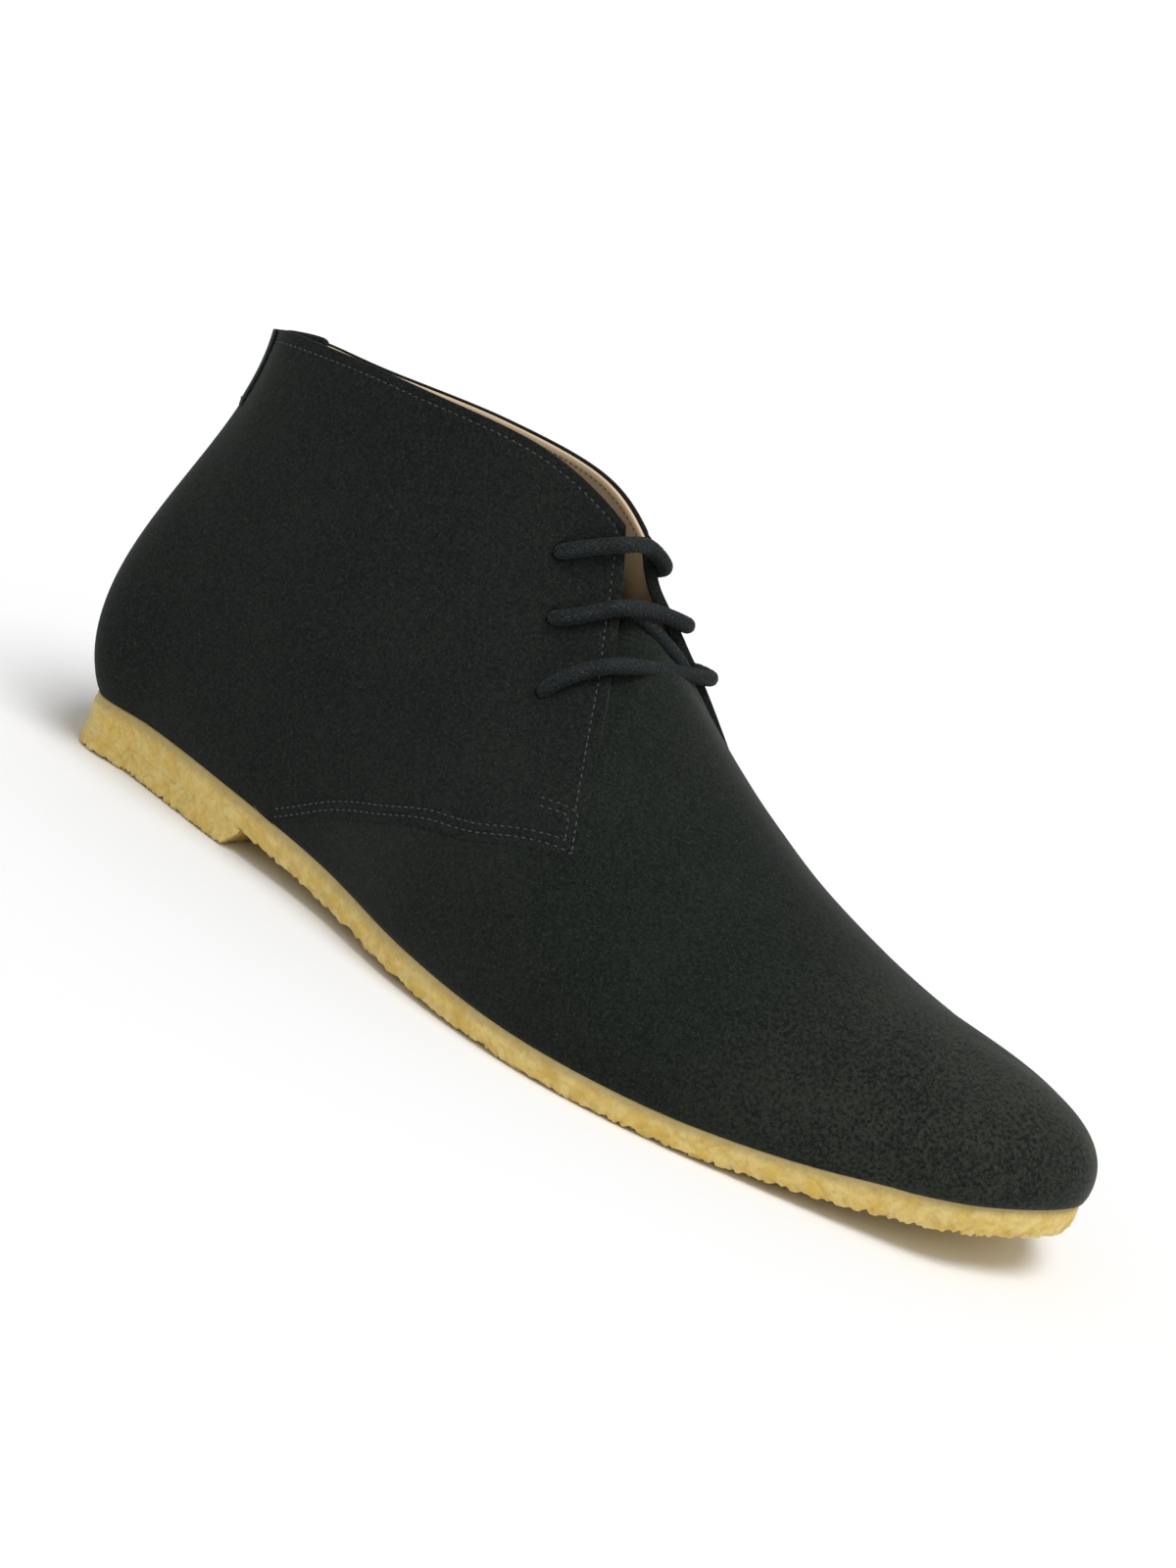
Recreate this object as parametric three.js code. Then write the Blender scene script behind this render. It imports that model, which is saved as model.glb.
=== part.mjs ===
// A right desert boot in nubuck on a crepe sole, as an assembly of the maker's own pieces.
// Millimetres. +X points to the toe, +Y to the medial (inner) side, +Z up. The tread stands on z = 0.
// The last is worked out from its length, ball width, instep and heel height by two short tables:
// one for the outline of the sole, one for the sections that rise from it to the top line.
import * as THREE from "three";
import { mergeVertices } from "three/addons/utils/BufferGeometryUtils.js";

// ---- driving dimensions -------------------------------------------------------------------

const SOLE_LENGTH = 295;
const TOE_TIP_Y = 2.5;
const HEEL_SEAT = 14.2; // height of the sole's top under the heel
const BALL_THICKNESS = 7.2;
const TOE_THICKENING = 1.4; // how much thicker the sole is at the toe than at the ball
const WAIST_CLEARANCE = 5.6; // the tread's height just in front of the heel
const TOE_SPRING = 12.5;
const BREAST_FOOT_X = 65.5; // where the heel's tread ends
const BREAST_TOP_X = 70; // where its sloped breast meets the waist
const FLAT_START_X = 178; // the forefoot's flat spot
const FLAT_END_X = 202;
const HEEL_FLARE = 0.8;
const SOLE_SWELLING = 0.3; // how far the sole's side swells at mid height
const GAP = 0.3; // between touching pieces
const SETTLING_PASSES = 12; // to find the station of a point of the quarter from its shares

const FEATHER_INSET = 1; // from the sole's edge to the upper
const UPPER_WALL = 1.8;
const QUARTER_LIFT = 0.6; // from the upper to the quarter's flesh side
const QUARTER_THICKNESS = 1;
const QUARTER_FOOT = 0.015; // share of the section's height that clears the sole
const TAB_THICKNESS = 1;
const TAB_STAND = 1.6; // how far the heel tab stands above the top line
const TAB_ROWS = [0.79, 0.86, 0.93, 1]; // its rows of points, as shares of the section's height
const TAB_REACH = 1.1; // its half width round the back, in stations
const INSOLE_THICKNESS = 2.6;
const INSOLE_CLEARANCE = 1.2;
const BACK_SEAM = 0.004; // half the gap between the quarters at the heel, as a share of their length
const TONGUE_THICKNESS = 1.8;
const LACE_DIAMETER = 4;
const LACE_CLEARANCE = 0.9;
const LACE_ARCH = 0.3; // how far a bar rises between its hole and the facing's edge

const RIDGE_SHIFT = 2; // the instep's ridge lies this far to the medial side
const RIDGE_ROUNDING = 9;

// Outline of the sole: half widths on either side of the axis, heel to toe.
const OUTLINE = [
  { x: 8, lateral: 25, medial: 23 },
  { x: 28, lateral: 27, medial: 31 },
  { x: 60, lateral: 33, medial: 30.5 },
  { x: 100, lateral: 39.5, medial: 25.5 },
  { x: 135, lateral: 50, medial: 34 },
  { x: 165, lateral: 54.5, medial: 46 },
  { x: 190, lateral: 53.5, medial: 49 },
  { x: 215, lateral: 47.5, medial: 47.5 },
  { x: 240, lateral: 38, medial: 43.5 },
  { x: 263, lateral: 29, medial: 36.5 },
  { x: 283, lateral: 20, medial: 26 },
];
const STATIONS = OUTLINE.length + 1; // station 0 is the heel's back, this one the toe's tip

// Sections of the last, one for each outline station. x, half and z place the top of the section: the
// top line up to station 5, the ridge of the instep and vamp after it. inner lowers the medial top line.
// bulge and rise steer the section as it leaves the sole, crown and fall as it reaches the top.
const SECTIONS = [
  { at: 0, x: 8, half: 0, z: 113.5, inner: 0, bulge: 17, rise: 29, crown: -1.5, fall: 33 },
  { at: 1, x: 14.5, half: 9, z: 116.5, inner: 2.5, bulge: 17.5, rise: 32, crown: -1.5, fall: 34 },
  { at: 2, x: 29, half: 17, z: 120, inner: 7, bulge: 11.5, rise: 28, crown: 3, fall: 33 },
  { at: 3, x: 67, half: 20, z: 123, inner: 7.5, bulge: 7.5, rise: 26, crown: 6, fall: 34 },
  { at: 4, x: 103, half: 14, z: 122.5, inner: 6.5, bulge: 6, rise: 24, crown: 10.5, fall: 36 },
  { at: 5, x: 126, half: 6, z: 113, inner: 4, bulge: 6, rise: 24, crown: 16, fall: 38 },
  { at: 6, x: 141, half: 0, z: 97.5, inner: 0, bulge: 6, rise: 22, crown: 20, fall: 26 },
  { at: 7, x: 160, half: 0, z: 76, inner: 0, bulge: 7, rise: 19, crown: 22, fall: 13 },
  { at: 8, x: 185, half: 0, z: 60, inner: 0, bulge: 8, rise: 15, crown: 23, fall: 8 },
  { at: 9, x: 209.5, half: 0, z: 50, inner: 0, bulge: 7, rise: 14, crown: 22, fall: 4.5 },
  { at: 10, x: 232, half: 0, z: 43.8, inner: 0, bulge: 6, rise: 14, crown: 20, fall: 2 },
  { at: 11, x: 249.5, half: 0, z: 41.6, inner: 0, bulge: 4, rise: 14.5, crown: 19, fall: 0.8 },
  { at: 12, x: 257, half: 0, z: 40.9, inner: 0, bulge: 2.5, rise: 15.5, crown: 19, fall: 0 },
];
const COLLAR_END = 5; // station of the top line's front corner
const THROAT_END = 7.25; // station where the vamp closes over the instep

// The quarter's lower edge and its facing, as shares of the section's height (0 sole, 1 top).
const QUARTER_LOWER_EDGE = [
  { at: 3.5, up: 0 },
  { at: 3.9, up: 0.13 },
  { at: 4.4, up: 0.225 },
  { at: 4.85, up: 0.3 },
  { at: 5.4, up: 0.35 },
  { at: 6.5, up: 0.44 },
];
const FACING_EDGE = [
  { up: 0.44, lateral: 6.53, medial: 6.58 },
  { up: 0.61, lateral: 6.25, medial: 6.36 },
  { up: 0.75, lateral: 5.95, medial: 6.12 },
  { up: 0.88, lateral: 5.54, medial: 5.74 },
  { up: 1, lateral: 5, medial: 5.04 },
];
// The vamp shell's throat, cut just behind the facings and rounded over to the ridge.
const THROAT_EDGE = [
  { at: 5, up: 1 },
  { at: 5.45, up: 0.86 },
  { at: 5.85, up: 0.73 },
  { at: 6.25, up: 0.68 },
  { at: 6.7, up: 0.73 },
  { at: 7.05, up: 0.81 },
  { at: 7.2, up: 0.9 },
  { at: THROAT_END, up: 1 },
];

// The tongue's own sections, from under the vamp up into the throat.
const TONGUE = [
  { x: 176, z: 60.8, half: 16, drop: 5 },
  { x: 168, z: 65.3, half: 18.5, drop: 7 },
  { x: 160, z: 71.5, half: 20, drop: 10 },
  { x: 152, z: 76.5, half: 18, drop: 10.5 },
  { x: 145, z: 80.5, half: 15, drop: 9 },
  { x: 136, z: 86.5, half: 11, drop: 7 },
  { x: 127, z: 96.5, half: 7, drop: 4 },
];

// Punched lace holes, top to bottom, by station and share of the section's height; crossing is the
// share at which the bar of lace from that hole leaves the facing's edge, and slip is how much lower
// it crosses the medial one.
const LACE_HOLES = [
  { name: "top", at: 4.62, up: 0.87, crossing: 0.975, slip: 0.01 },
  { name: "middle", at: 4.94, up: 0.78, crossing: 0.865, slip: 0.035 },
  { name: "bottom", at: 5.31, up: 0.66, crossing: 0.755, slip: 0.025 },
];

// The strand that crosses inside, from the lateral middle hole to the medial bottom one.
const LACE_CROSSING = [
  { x: 133, y: -6.5, z: 91.5 },
  { x: 140, y: 3, z: 86 },
  { x: 146, y: 12, z: 79 },
];

const LATERAL = -1;
const MEDIAL = 1;

// ---- smooth functions through the tables --------------------------------------------------

function eased(v) {
  const c = Math.min(Math.max(v, 0), 1);
  return c * c * (3 - 2 * c);
}

// A smooth curve through one column of a table, by the column that its rows are sorted on.
function through(rows, along, column, v) {
  const slopeOf = (i) => (rows[i + 1][column] - rows[i][column]) / (rows[i + 1][along] - rows[i][along]);
  const last = rows.length - 2;
  let i = 0;
  while (i < last && v >= rows[i + 1][along]) i += 1;
  const span = rows[i + 1][along] - rows[i][along];
  const tangent = (j) => {
    if (j === 0) return slopeOf(0);
    if (j === rows.length - 1) return slopeOf(last);
    const before = rows[j][along] - rows[j - 1][along];
    const after = rows[j + 1][along] - rows[j][along];
    return (after * slopeOf(j - 1) + before * slopeOf(j)) / (before + after);
  };
  const s = Math.min(Math.max((v - rows[i][along]) / span, 0), 1);
  const s2 = s * s;
  const s3 = s2 * s;
  return (
    (2 * s3 - 3 * s2 + 1) * rows[i][column] +
    (s3 - 2 * s2 + s) * span * tangent(i) +
    (3 * s2 - 2 * s3) * rows[i + 1][column] +
    (s3 - s2) * span * tangent(i + 1)
  );
}

// ---- the sole's outline and heights -------------------------------------------------------

const outlineCurve = new THREE.CatmullRomCurve3(
  [
    new THREE.Vector3(0, 0, 0),
    ...OUTLINE.map((row) => new THREE.Vector3(row.x, -row.lateral, 0)),
    new THREE.Vector3(SOLE_LENGTH, TOE_TIP_Y, 0),
    ...OUTLINE.toReversed().map((row) => new THREE.Vector3(row.x, row.medial, 0)),
  ],
  true,
  "centripetal",
);

function onOutline(side, station) {
  const share = station / (2 * STATIONS);
  return outlineCurve.getPoint(side === LATERAL ? share : (1 - share) % 1);
}

// The outline's outward direction at a station.
function outwards(side, station) {
  if (station <= 0) return new THREE.Vector3(-1, 0, 0);
  if (station >= STATIONS) return new THREE.Vector3(1, 0, 0);
  const step = 0.02;
  const ahead = onOutline(side, Math.min(station + step, STATIONS));
  const run = ahead.sub(onOutline(side, Math.max(station - step, 0))).normalize();
  return side === LATERAL ? new THREE.Vector3(run.y, -run.x, 0) : new THREE.Vector3(-run.y, run.x, 0);
}

function springAt(x) {
  const past = Math.max(x - FLAT_END_X, 0) / (SOLE_LENGTH - FLAT_END_X);
  return TOE_SPRING * past * past;
}

function soleTopAt(x) {
  const share = eased((x - 40) / 145);
  const thickening = TOE_THICKENING * eased((x - 235) / 50);
  return HEEL_SEAT + (BALL_THICKNESS - HEEL_SEAT) * share + thickening + springAt(x);
}

// The underside of the through-sole: parallel to the top over the heel, then the raised waist.
function soleUnderAt(x) {
  const run = Math.min(Math.max((x - BREAST_TOP_X) / (FLAT_START_X - BREAST_TOP_X), 0), 1);
  return WAIST_CLEARANCE * (1 - run) ** 1.5 + springAt(x);
}

// ---- the last's surface -------------------------------------------------------------------

// How steeply the ridge falls at a station, height for each millimetre towards the toe.
function ridgeSlopeAt(station) {
  const step = 0.05;
  const change = (column) =>
    through(SECTIONS, "at", column, Math.min(station + step, STATIONS)) -
    through(SECTIONS, "at", column, station - step);
  return change("z") / change("x");
}

function onLast(side, station, up) {
  const row = (column) => through(SECTIONS, "at", column, station);
  const out = outwards(side, station);
  const ridge = eased((station - COLLAR_END) / 1.5);
  const roof = (row("fall") / Math.max(row("crown"), 1)) * ridge;
  const half = station >= COLLAR_END + 1 ? 0 : Math.max(row("half"), 0);
  const lowered = side === MEDIAL ? row("inner") * (1 - ridge) : 0;
  const foot = onOutline(side, station).addScaledVector(out, -FEATHER_INSET);
  foot.z = soleTopAt(foot.x) + GAP;
  const top = new THREE.Vector3(
    row("x"),
    side * half + RIDGE_SHIFT * eased((station - COLLAR_END) / 2),
    row("z") - lowered + roof * RIDGE_ROUNDING,
  );
  const leaving = foot.clone().addScaledVector(out, row("bulge"));
  leaving.z += row("rise");
  const arriving = top.clone().addScaledVector(out, row("crown"));
  arriving.z -= row("fall");
  // Past the collar the section leaves the ridge along its slope, so that both sides meet smoothly.
  if (ridge > 0) arriving.z += ridge * ridgeSlopeAt(station) * out.x * row("crown");
  const point = new THREE.CubicBezierCurve3(foot, leaving, arriving, top).getPoint(up);
  const away = Math.hypot(point.x - top.x, point.y - top.y);
  point.z -= up * roof * (Math.hypot(away, RIDGE_ROUNDING) - away);
  return point;
}

function sideNormal(side, station, up) {
  const step = 0.02;
  const k = Math.min(Math.max(station, step), STATIONS - 6 * step);
  const v = Math.min(Math.max(up, step), 1 - step);
  const along = onLast(side, k + step, v).sub(onLast(side, k - step, v));
  const rise = onLast(side, k, v + step).sub(onLast(side, k, v - step));
  return side === LATERAL ? along.cross(rise).normalize() : rise.cross(along).normalize();
}

// Outward normal, shared by both sides where they meet: heel back, toe tip and ridge.
function lastNormal(side, station, up) {
  const normal = sideNormal(side, station, up);
  const shared = station <= 0 || station >= STATIONS || (up >= 1 && station >= COLLAR_END + 1);
  return shared ? normal.add(sideNormal(-side, station, up)).normalize() : normal;
}

function offLast(side, station, up, offset) {
  return onLast(side, station, up).addScaledVector(lastNormal(side, station, up), offset);
}

// ---- closed solids from grids of points ---------------------------------------------------

function quad(triangles, a, b, c, d) {
  triangles.push([a, b, c], [a, c, d]);
}

// Faces between the rows of a grid; skip says which columns have no face to their right.
function skin(triangles, grid, flipped, skip = () => false) {
  for (let i = 0; i + 1 < grid.length; i += 1) {
    for (let j = 0; j + 1 < grid[i].length; j += 1) {
      if (skip(j)) continue;
      const corners = [grid[i][j], grid[i + 1][j], grid[i + 1][j + 1], grid[i][j + 1]];
      quad(triangles, ...(flipped ? corners.reverse() : corners));
    }
  }
}

// A wall between two lines of points.
function wall(triangles, outer, inner, flipped) {
  for (let i = 0; i + 1 < outer.length; i += 1) {
    const corners = [outer[i], inner[i], inner[i + 1], outer[i + 1]];
    quad(triangles, ...(flipped ? corners.reverse() : corners));
  }
}

function closedGeometry(triangles) {
  const positions = new Float32Array(triangles.flat().flatMap((p) => [p.x, p.y, p.z]));
  const loose = new THREE.BufferGeometry();
  loose.setAttribute("position", new THREE.BufferAttribute(positions, 3));
  const merged = mergeVertices(loose, 2e-3);
  const index = merged.index.array;
  const kept = [];
  for (let i = 0; i < index.length; i += 3) {
    const [a, b, c] = index.subarray(i, i + 3);
    if (a !== b && b !== c && c !== a) kept.push(a, b, c);
  }
  merged.setIndex(kept);
  if (signedVolume(merged) < 0) merged.setIndex(kept.toReversed());
  merged.computeVertexNormals();
  return merged;
}

function signedVolume(geometry) {
  const at = geometry.getAttribute("position");
  const index = geometry.index.array;
  const corner = (i) => new THREE.Vector3().fromBufferAttribute(at, index[i]);
  let volume = 0;
  for (let i = 0; i < index.length; i += 3) {
    volume += corner(i).dot(corner(i + 1).cross(corner(i + 2)));
  }
  return volume;
}

function range(first, last, count) {
  return Array.from({ length: count + 1 }, (_, i) => first + ((last - first) * i) / count);
}

// A shell between two matching grids, closed on all four edges.
function sheetGeometry(outer, inner) {
  const triangles = [];
  const column = (grid, j) => grid.map((row) => row.at(j));
  skin(triangles, outer, false);
  skin(triangles, inner, true);
  wall(triangles, column(outer, 0), column(inner, 0), false);
  wall(triangles, column(outer, -1), column(inner, -1), true);
  wall(triangles, outer[0], inner[0], true);
  wall(triangles, outer.at(-1), inner.at(-1), false);
  return closedGeometry(triangles);
}

// A slab lofted through sections that run round from the lateral side to the medial one.
function slabGeometry(sections) {
  const triangles = [];
  skin(triangles, sections.map((section) => [...section, section[0]]), false);
  const ends = [[sections[0], false], [sections.at(-1), true]];
  for (const [end, flipped] of ends) {
    for (let j = 1; j + 1 < end.length; j += 1) {
      const face = [end[0], end[j], end[j + 1]];
      triangles.push(flipped ? face.reverse() : face);
    }
  }
  return closedGeometry(triangles);
}

// ---- the pieces ---------------------------------------------------------------------------

const crepe = new THREE.MeshStandardMaterial({ color: 0xc9ad69, roughness: 0.85 });
const nubuck = new THREE.MeshStandardMaterial({ color: 0x262a28, roughness: 0.9 });
const nubuckLight = new THREE.MeshStandardMaterial({ color: 0x303430, roughness: 0.9 });
const tan = new THREE.MeshStandardMaterial({ color: 0xd9b98c, roughness: 0.7 });
const cord = new THREE.MeshStandardMaterial({ color: 0x24282a, roughness: 0.8 });

const boot = new THREE.Group();

function add(name, geometry, material) {
  const mesh = new THREE.Mesh(geometry, material);
  mesh.name = name;
  boot.add(mesh);
}

// The side of a sole slab: a slightly swollen edge from the tread up to the feather.
function slabSection(station, undersideAt, topAt, flare) {
  const edge = (side, share, proud) => {
    const rim = onOutline(side, station).addScaledVector(outwards(side, station), proud);
    rim.z = undersideAt(rim.x) * (1 - share) + topAt(rim.x) * share;
    return rim;
  };
  const swelling = [[0, flare], [0.5, flare / 2 + SOLE_SWELLING], [1, 0]];
  const rise = (side) => swelling.map(([share, proud]) => edge(side, share, proud));
  return [...rise(LATERAL), ...rise(MEDIAL).reverse()];
}

function outsole() {
  const stations = range(0, STATIONS, 56);
  return slabGeometry(stations.map((k) => slabSection(k, soleUnderAt, soleTopAt, 0)));
}

// Both ends of the breast face lie where the outline passes the named x.
function stationAtX(side, x) {
  let low = 1;
  let high = STATIONS - 1;
  while (high - low > 1e-4) {
    const middle = (low + high) / 2;
    if (onOutline(side, middle).x < x) low = middle;
    else high = middle;
  }
  return low;
}

function heel() {
  const count = 16;
  const edge = (side, share, x) => {
    const station = stationAtX(side, x) * share;
    return onOutline(side, station).addScaledVector(outwards(side, station), HEEL_FLARE);
  };
  const sections = range(0, 1, count).map((share) => {
    const lower = (side) => edge(side, share, BREAST_FOOT_X);
    const upper = (side) => edge(side, share, BREAST_TOP_X - GAP).setZ(WAIST_CLEARANCE - GAP);
    return [lower(LATERAL), upper(LATERAL), upper(MEDIAL), lower(MEDIAL)];
  });
  return slabGeometry(sections);
}

function insole() {
  const inset = FEATHER_INSET + UPPER_WALL + INSOLE_CLEARANCE;
  const edge = (side, k, z) => {
    const rim = onOutline(side, k).addScaledVector(outwards(side, k), -inset);
    rim.z = soleTopAt(rim.x) + z;
    return rim;
  };
  const sections = range(0, STATIONS, 40).map((k) => [
    edge(LATERAL, k, GAP),
    edge(LATERAL, k, INSOLE_THICKNESS),
    edge(MEDIAL, k, INSOLE_THICKNESS),
    edge(MEDIAL, k, GAP),
  ]);
  return slabGeometry(sections);
}

function throatEdgeAt(station) {
  if (station <= COLLAR_END || station >= THROAT_END) return 1;
  return Math.min(through(THROAT_EDGE, "at", "up", station), 1);
}

// One hollow wall: both sides rise from the feather, part at collar and throat, and meet over the vamp.
function upper() {
  const rows = 12;
  const stations = [
    ...range(0, COLLAR_END, 19),
    ...range(0, Math.PI / 2, 13).slice(1).map((a) => COLLAR_END + (THROAT_END - COLLAR_END) * Math.sin(a)),
    ...range(THROAT_END, STATIONS, 20).slice(1),
  ];
  const section = (station, offset) => {
    const top = throatEdgeAt(station);
    const rise = (side) => range(0, top, rows).map((up) => offLast(side, station, up, offset));
    return [...rise(LATERAL), ...rise(MEDIAL).reverse()];
  };
  const outer = stations.map((k) => section(k, 0));
  const inner = stations.map((k) => section(k, -UPPER_WALL));
  for (const row of inner) {
    row[0].z = soleTopAt(row[0].x) + GAP;
    row.at(-1).z = soleTopAt(row.at(-1).x) + GAP;
  }
  const triangles = [];
  const parted = (j) => j === rows;
  skin(triangles, outer, false, parted);
  skin(triangles, inner, true, parted);
  const column = (grid, j, end) => grid.slice(0, end).map((row) => row.at(j));
  const open = stations.findIndex((k) => k >= THROAT_END) + 1;
  wall(triangles, column(outer, 0), column(inner, 0), false);
  wall(triangles, column(outer, -1), column(inner, -1), true);
  wall(triangles, column(outer, rows, open), column(inner, rows, open), true);
  wall(triangles, column(outer, rows + 1, open), column(inner, rows + 1, open), false);
  return closedGeometry(triangles);
}

function lowerEdgeAt(station) {
  return Math.max(through(QUARTER_LOWER_EDGE, "at", "up", station), QUARTER_FOOT);
}

function facingAt(side, up) {
  const column = side === LATERAL ? "lateral" : "medial";
  return through(FACING_EDGE, "up", column, up);
}

// Station and height of a point of the quarter, by its shares from heel to facing and from edge to top.
function onQuarter(side, forward, upward) {
  let up = upward;
  let station = forward * COLLAR_END;
  for (let pass = 0; pass < SETTLING_PASSES; pass += 1) {
    station = forward * facingAt(side, up);
    const low = lowerEdgeAt(station);
    up = low + (1 - low) * upward;
  }
  return { station, up };
}

function quarter(side) {
  const grid = (offset) =>
    range(BACK_SEAM, 1, 30).map((forward) =>
      range(0, 1, 12).map((upward) => {
        const { station, up } = onQuarter(side, forward, upward);
        return offLast(side, station, up, offset);
      }),
    );
  return sheetGeometry(grid(QUARTER_LIFT + QUARTER_THICKNESS), grid(QUARTER_LIFT));
}

// A strip over the back of the top line, standing a little above it.
function heelTab() {
  const inside = QUARTER_LIFT + QUARTER_THICKNESS + 2 * GAP;
  const grid = (offset) =>
    range(-TAB_REACH, TAB_REACH, 14).map((k) => {
      const side = k < 0 ? LATERAL : MEDIAL;
      const edge = (up) => offLast(side, Math.abs(k), up, offset);
      const rows = TAB_ROWS.map(edge);
      return [...rows, rows.at(-1).clone().setZ(rows.at(-1).z + TAB_STAND)];
    });
  return sheetGeometry(grid(inside + TAB_THICKNESS), grid(inside));
}

function tongue() {
  const across = range(-1, 1, 10);
  const grid = (lift) =>
    range(TONGUE.at(-1).x, TONGUE[0].x, 14).map((x) => {
      const falling = TONGUE.toReversed();
      const row = (column) => through(falling, "x", column, x);
      return across.map((s) => {
        const y = RIDGE_SHIFT * eased((x - 127) / 36) + s * row("half");
        return new THREE.Vector3(x, y, row("z") - row("drop") * s * s + lift);
      });
    });
  return sheetGeometry(grid(0), grid(-TONGUE_THICKNESS));
}

// A bar of lace from hole to hole, over both facings and the gap between them.
function laceBar(hole) {
  const stand = QUARTER_LIFT + QUARTER_THICKNESS + LACE_CLEARANCE + LACE_DIAMETER / 2;
  const half = (side) => {
    const crossing = side === MEDIAL ? hole.crossing - hole.slip : hole.crossing;
    const facing = facingAt(side, crossing);
    const [at, up] = [(hole.at + facing) / 2, (hole.up + crossing) / 2];
    return [
      offLast(side, hole.at, hole.up, stand),
      offLast(side, at, up, stand + LACE_ARCH),
      offLast(side, facing, crossing, stand),
    ];
  };
  const route = [...half(LATERAL), ...half(MEDIAL).reverse()];
  return cordGeometry(new THREE.CatmullRomCurve3(route, false, "centripetal"), 16);
}

function laceCrossing() {
  const route = LACE_CROSSING.map((row) => new THREE.Vector3(row.x, row.y, row.z));
  return cordGeometry(new THREE.CatmullRomCurve3(route, false, "centripetal"), 8);
}

function cordGeometry(path, steps) {
  const radius = LACE_DIAMETER / 2;
  const ring = range(0, 2 * Math.PI, 8).slice(0, -1);
  const corners = ring.map((a) => new THREE.Vector2(radius * Math.cos(a), radius * Math.sin(a)));
  const shape = new THREE.Shape(corners);
  const geometry = new THREE.ExtrudeGeometry(shape, { steps, extrudePath: path, bevelEnabled: false });
  geometry.deleteAttribute("normal");
  geometry.deleteAttribute("uv");
  const merged = mergeVertices(geometry, 1e-3);
  merged.computeVertexNormals();
  return merged;
}

add("outsole", outsole(), crepe);
add("heel", heel(), crepe);
add("insole", insole(), tan);
add("upper", upper(), nubuckLight);
add("tongue", tongue(), nubuckLight);
add("quarter_lateral", quarter(LATERAL), nubuck);
add("quarter_medial", quarter(MEDIAL), nubuck);
add("heel_tab", heelTab(), nubuck);
for (const hole of LACE_HOLES) add(`lace_bar_${hole.name}`, laceBar(hole), cord);
add("lace_crossing", laceCrossing(), cord);

// The part's origin is the middle of its box, on the floor.
const box = new THREE.Box3().setFromObject(boot);
boot.position.set(-(box.min.x + box.max.x) / 2, -(box.min.y + box.max.y) / 2, -box.min.z);

const part = new THREE.Group();
part.add(boot);
export default part;
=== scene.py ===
"""A right desert boot in black nubuck on a crepe sole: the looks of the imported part.

Shapes are worked out in millimetres in the last's own frame: x runs from the back of the heel to the toe,
y to the medial side and z up from the floor. A mesh becomes metres in the part's frame when it is made.
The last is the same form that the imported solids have, so each piece lies where its solid lies.
"""

from __future__ import annotations

import logging
import math
from dataclasses import dataclass
from enum import Enum
from functools import cached_property
from typing import Any, Callable

import bmesh
import bpy
import numpy as np
from mathutils import Matrix, Vector, noise

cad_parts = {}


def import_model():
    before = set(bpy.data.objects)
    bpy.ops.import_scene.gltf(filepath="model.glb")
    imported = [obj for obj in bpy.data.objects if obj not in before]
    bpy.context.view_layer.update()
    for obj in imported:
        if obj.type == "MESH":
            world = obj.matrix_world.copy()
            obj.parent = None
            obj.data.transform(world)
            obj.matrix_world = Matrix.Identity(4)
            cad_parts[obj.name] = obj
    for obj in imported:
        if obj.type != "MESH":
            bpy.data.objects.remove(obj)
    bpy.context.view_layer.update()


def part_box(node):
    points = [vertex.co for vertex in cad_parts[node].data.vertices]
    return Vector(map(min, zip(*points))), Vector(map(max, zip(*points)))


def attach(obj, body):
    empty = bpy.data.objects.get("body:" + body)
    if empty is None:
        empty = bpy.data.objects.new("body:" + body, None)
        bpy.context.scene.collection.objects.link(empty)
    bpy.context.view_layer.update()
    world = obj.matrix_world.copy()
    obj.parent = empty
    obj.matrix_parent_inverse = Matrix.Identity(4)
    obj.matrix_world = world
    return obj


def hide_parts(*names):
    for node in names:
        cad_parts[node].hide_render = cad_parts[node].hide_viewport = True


log = logging.getLogger("desert_boot")

MM = 0.001
BODY = "root"

Array = np.ndarray


class Side(Enum):
    """The two sides of the boot, by the sign of y."""

    LATERAL = -1
    MEDIAL = 1


class Table:
    """A short table with named columns, each of which can be read as a smooth curve."""

    def __init__(self, columns: str, *rows: tuple[float, ...]) -> None:
        """Keeps the rows by column.

        Args:
            columns: The column names, in order, with spaces between them.
            rows: One tuple for each row.
        """
        self._columns = dict(zip(columns.split(), np.array(rows, float).T))

    def __getitem__(self, name: str) -> Array:
        """One column."""
        return self._columns[name]

    def read(self, name: str, value: Array, along: str = "at") -> Array:
        """Reads a column as a smooth curve.

        Args:
            name: The column to read.
            value: Where to read it.
            along: The column that the rows are sorted on.

        Returns:
            The column's value at each place.
        """
        at, column = self[along], self[name]
        value = np.asarray(value, float)
        spans = np.diff(at)
        slopes = np.diff(column) / spans
        inner = (spans[1:] * slopes[:-1] + spans[:-1] * slopes[1:]) / (spans[:-1] + spans[1:])
        tangents = np.concatenate([slopes[:1], inner, slopes[-1:]])
        i = np.clip(np.searchsorted(at, value, side="right") - 1, 0, len(at) - 2)
        s = np.clip((value - at[i]) / spans[i], 0, 1)
        s2, s3 = s * s, s * s * s
        return (
            (2 * s3 - 3 * s2 + 1) * column[i]
            + (s3 - 2 * s2 + s) * spans[i] * tangents[i]
            + (3 * s2 - 2 * s3) * column[i + 1]
            + (s3 - s2) * spans[i] * tangents[i + 1]
        )


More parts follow.
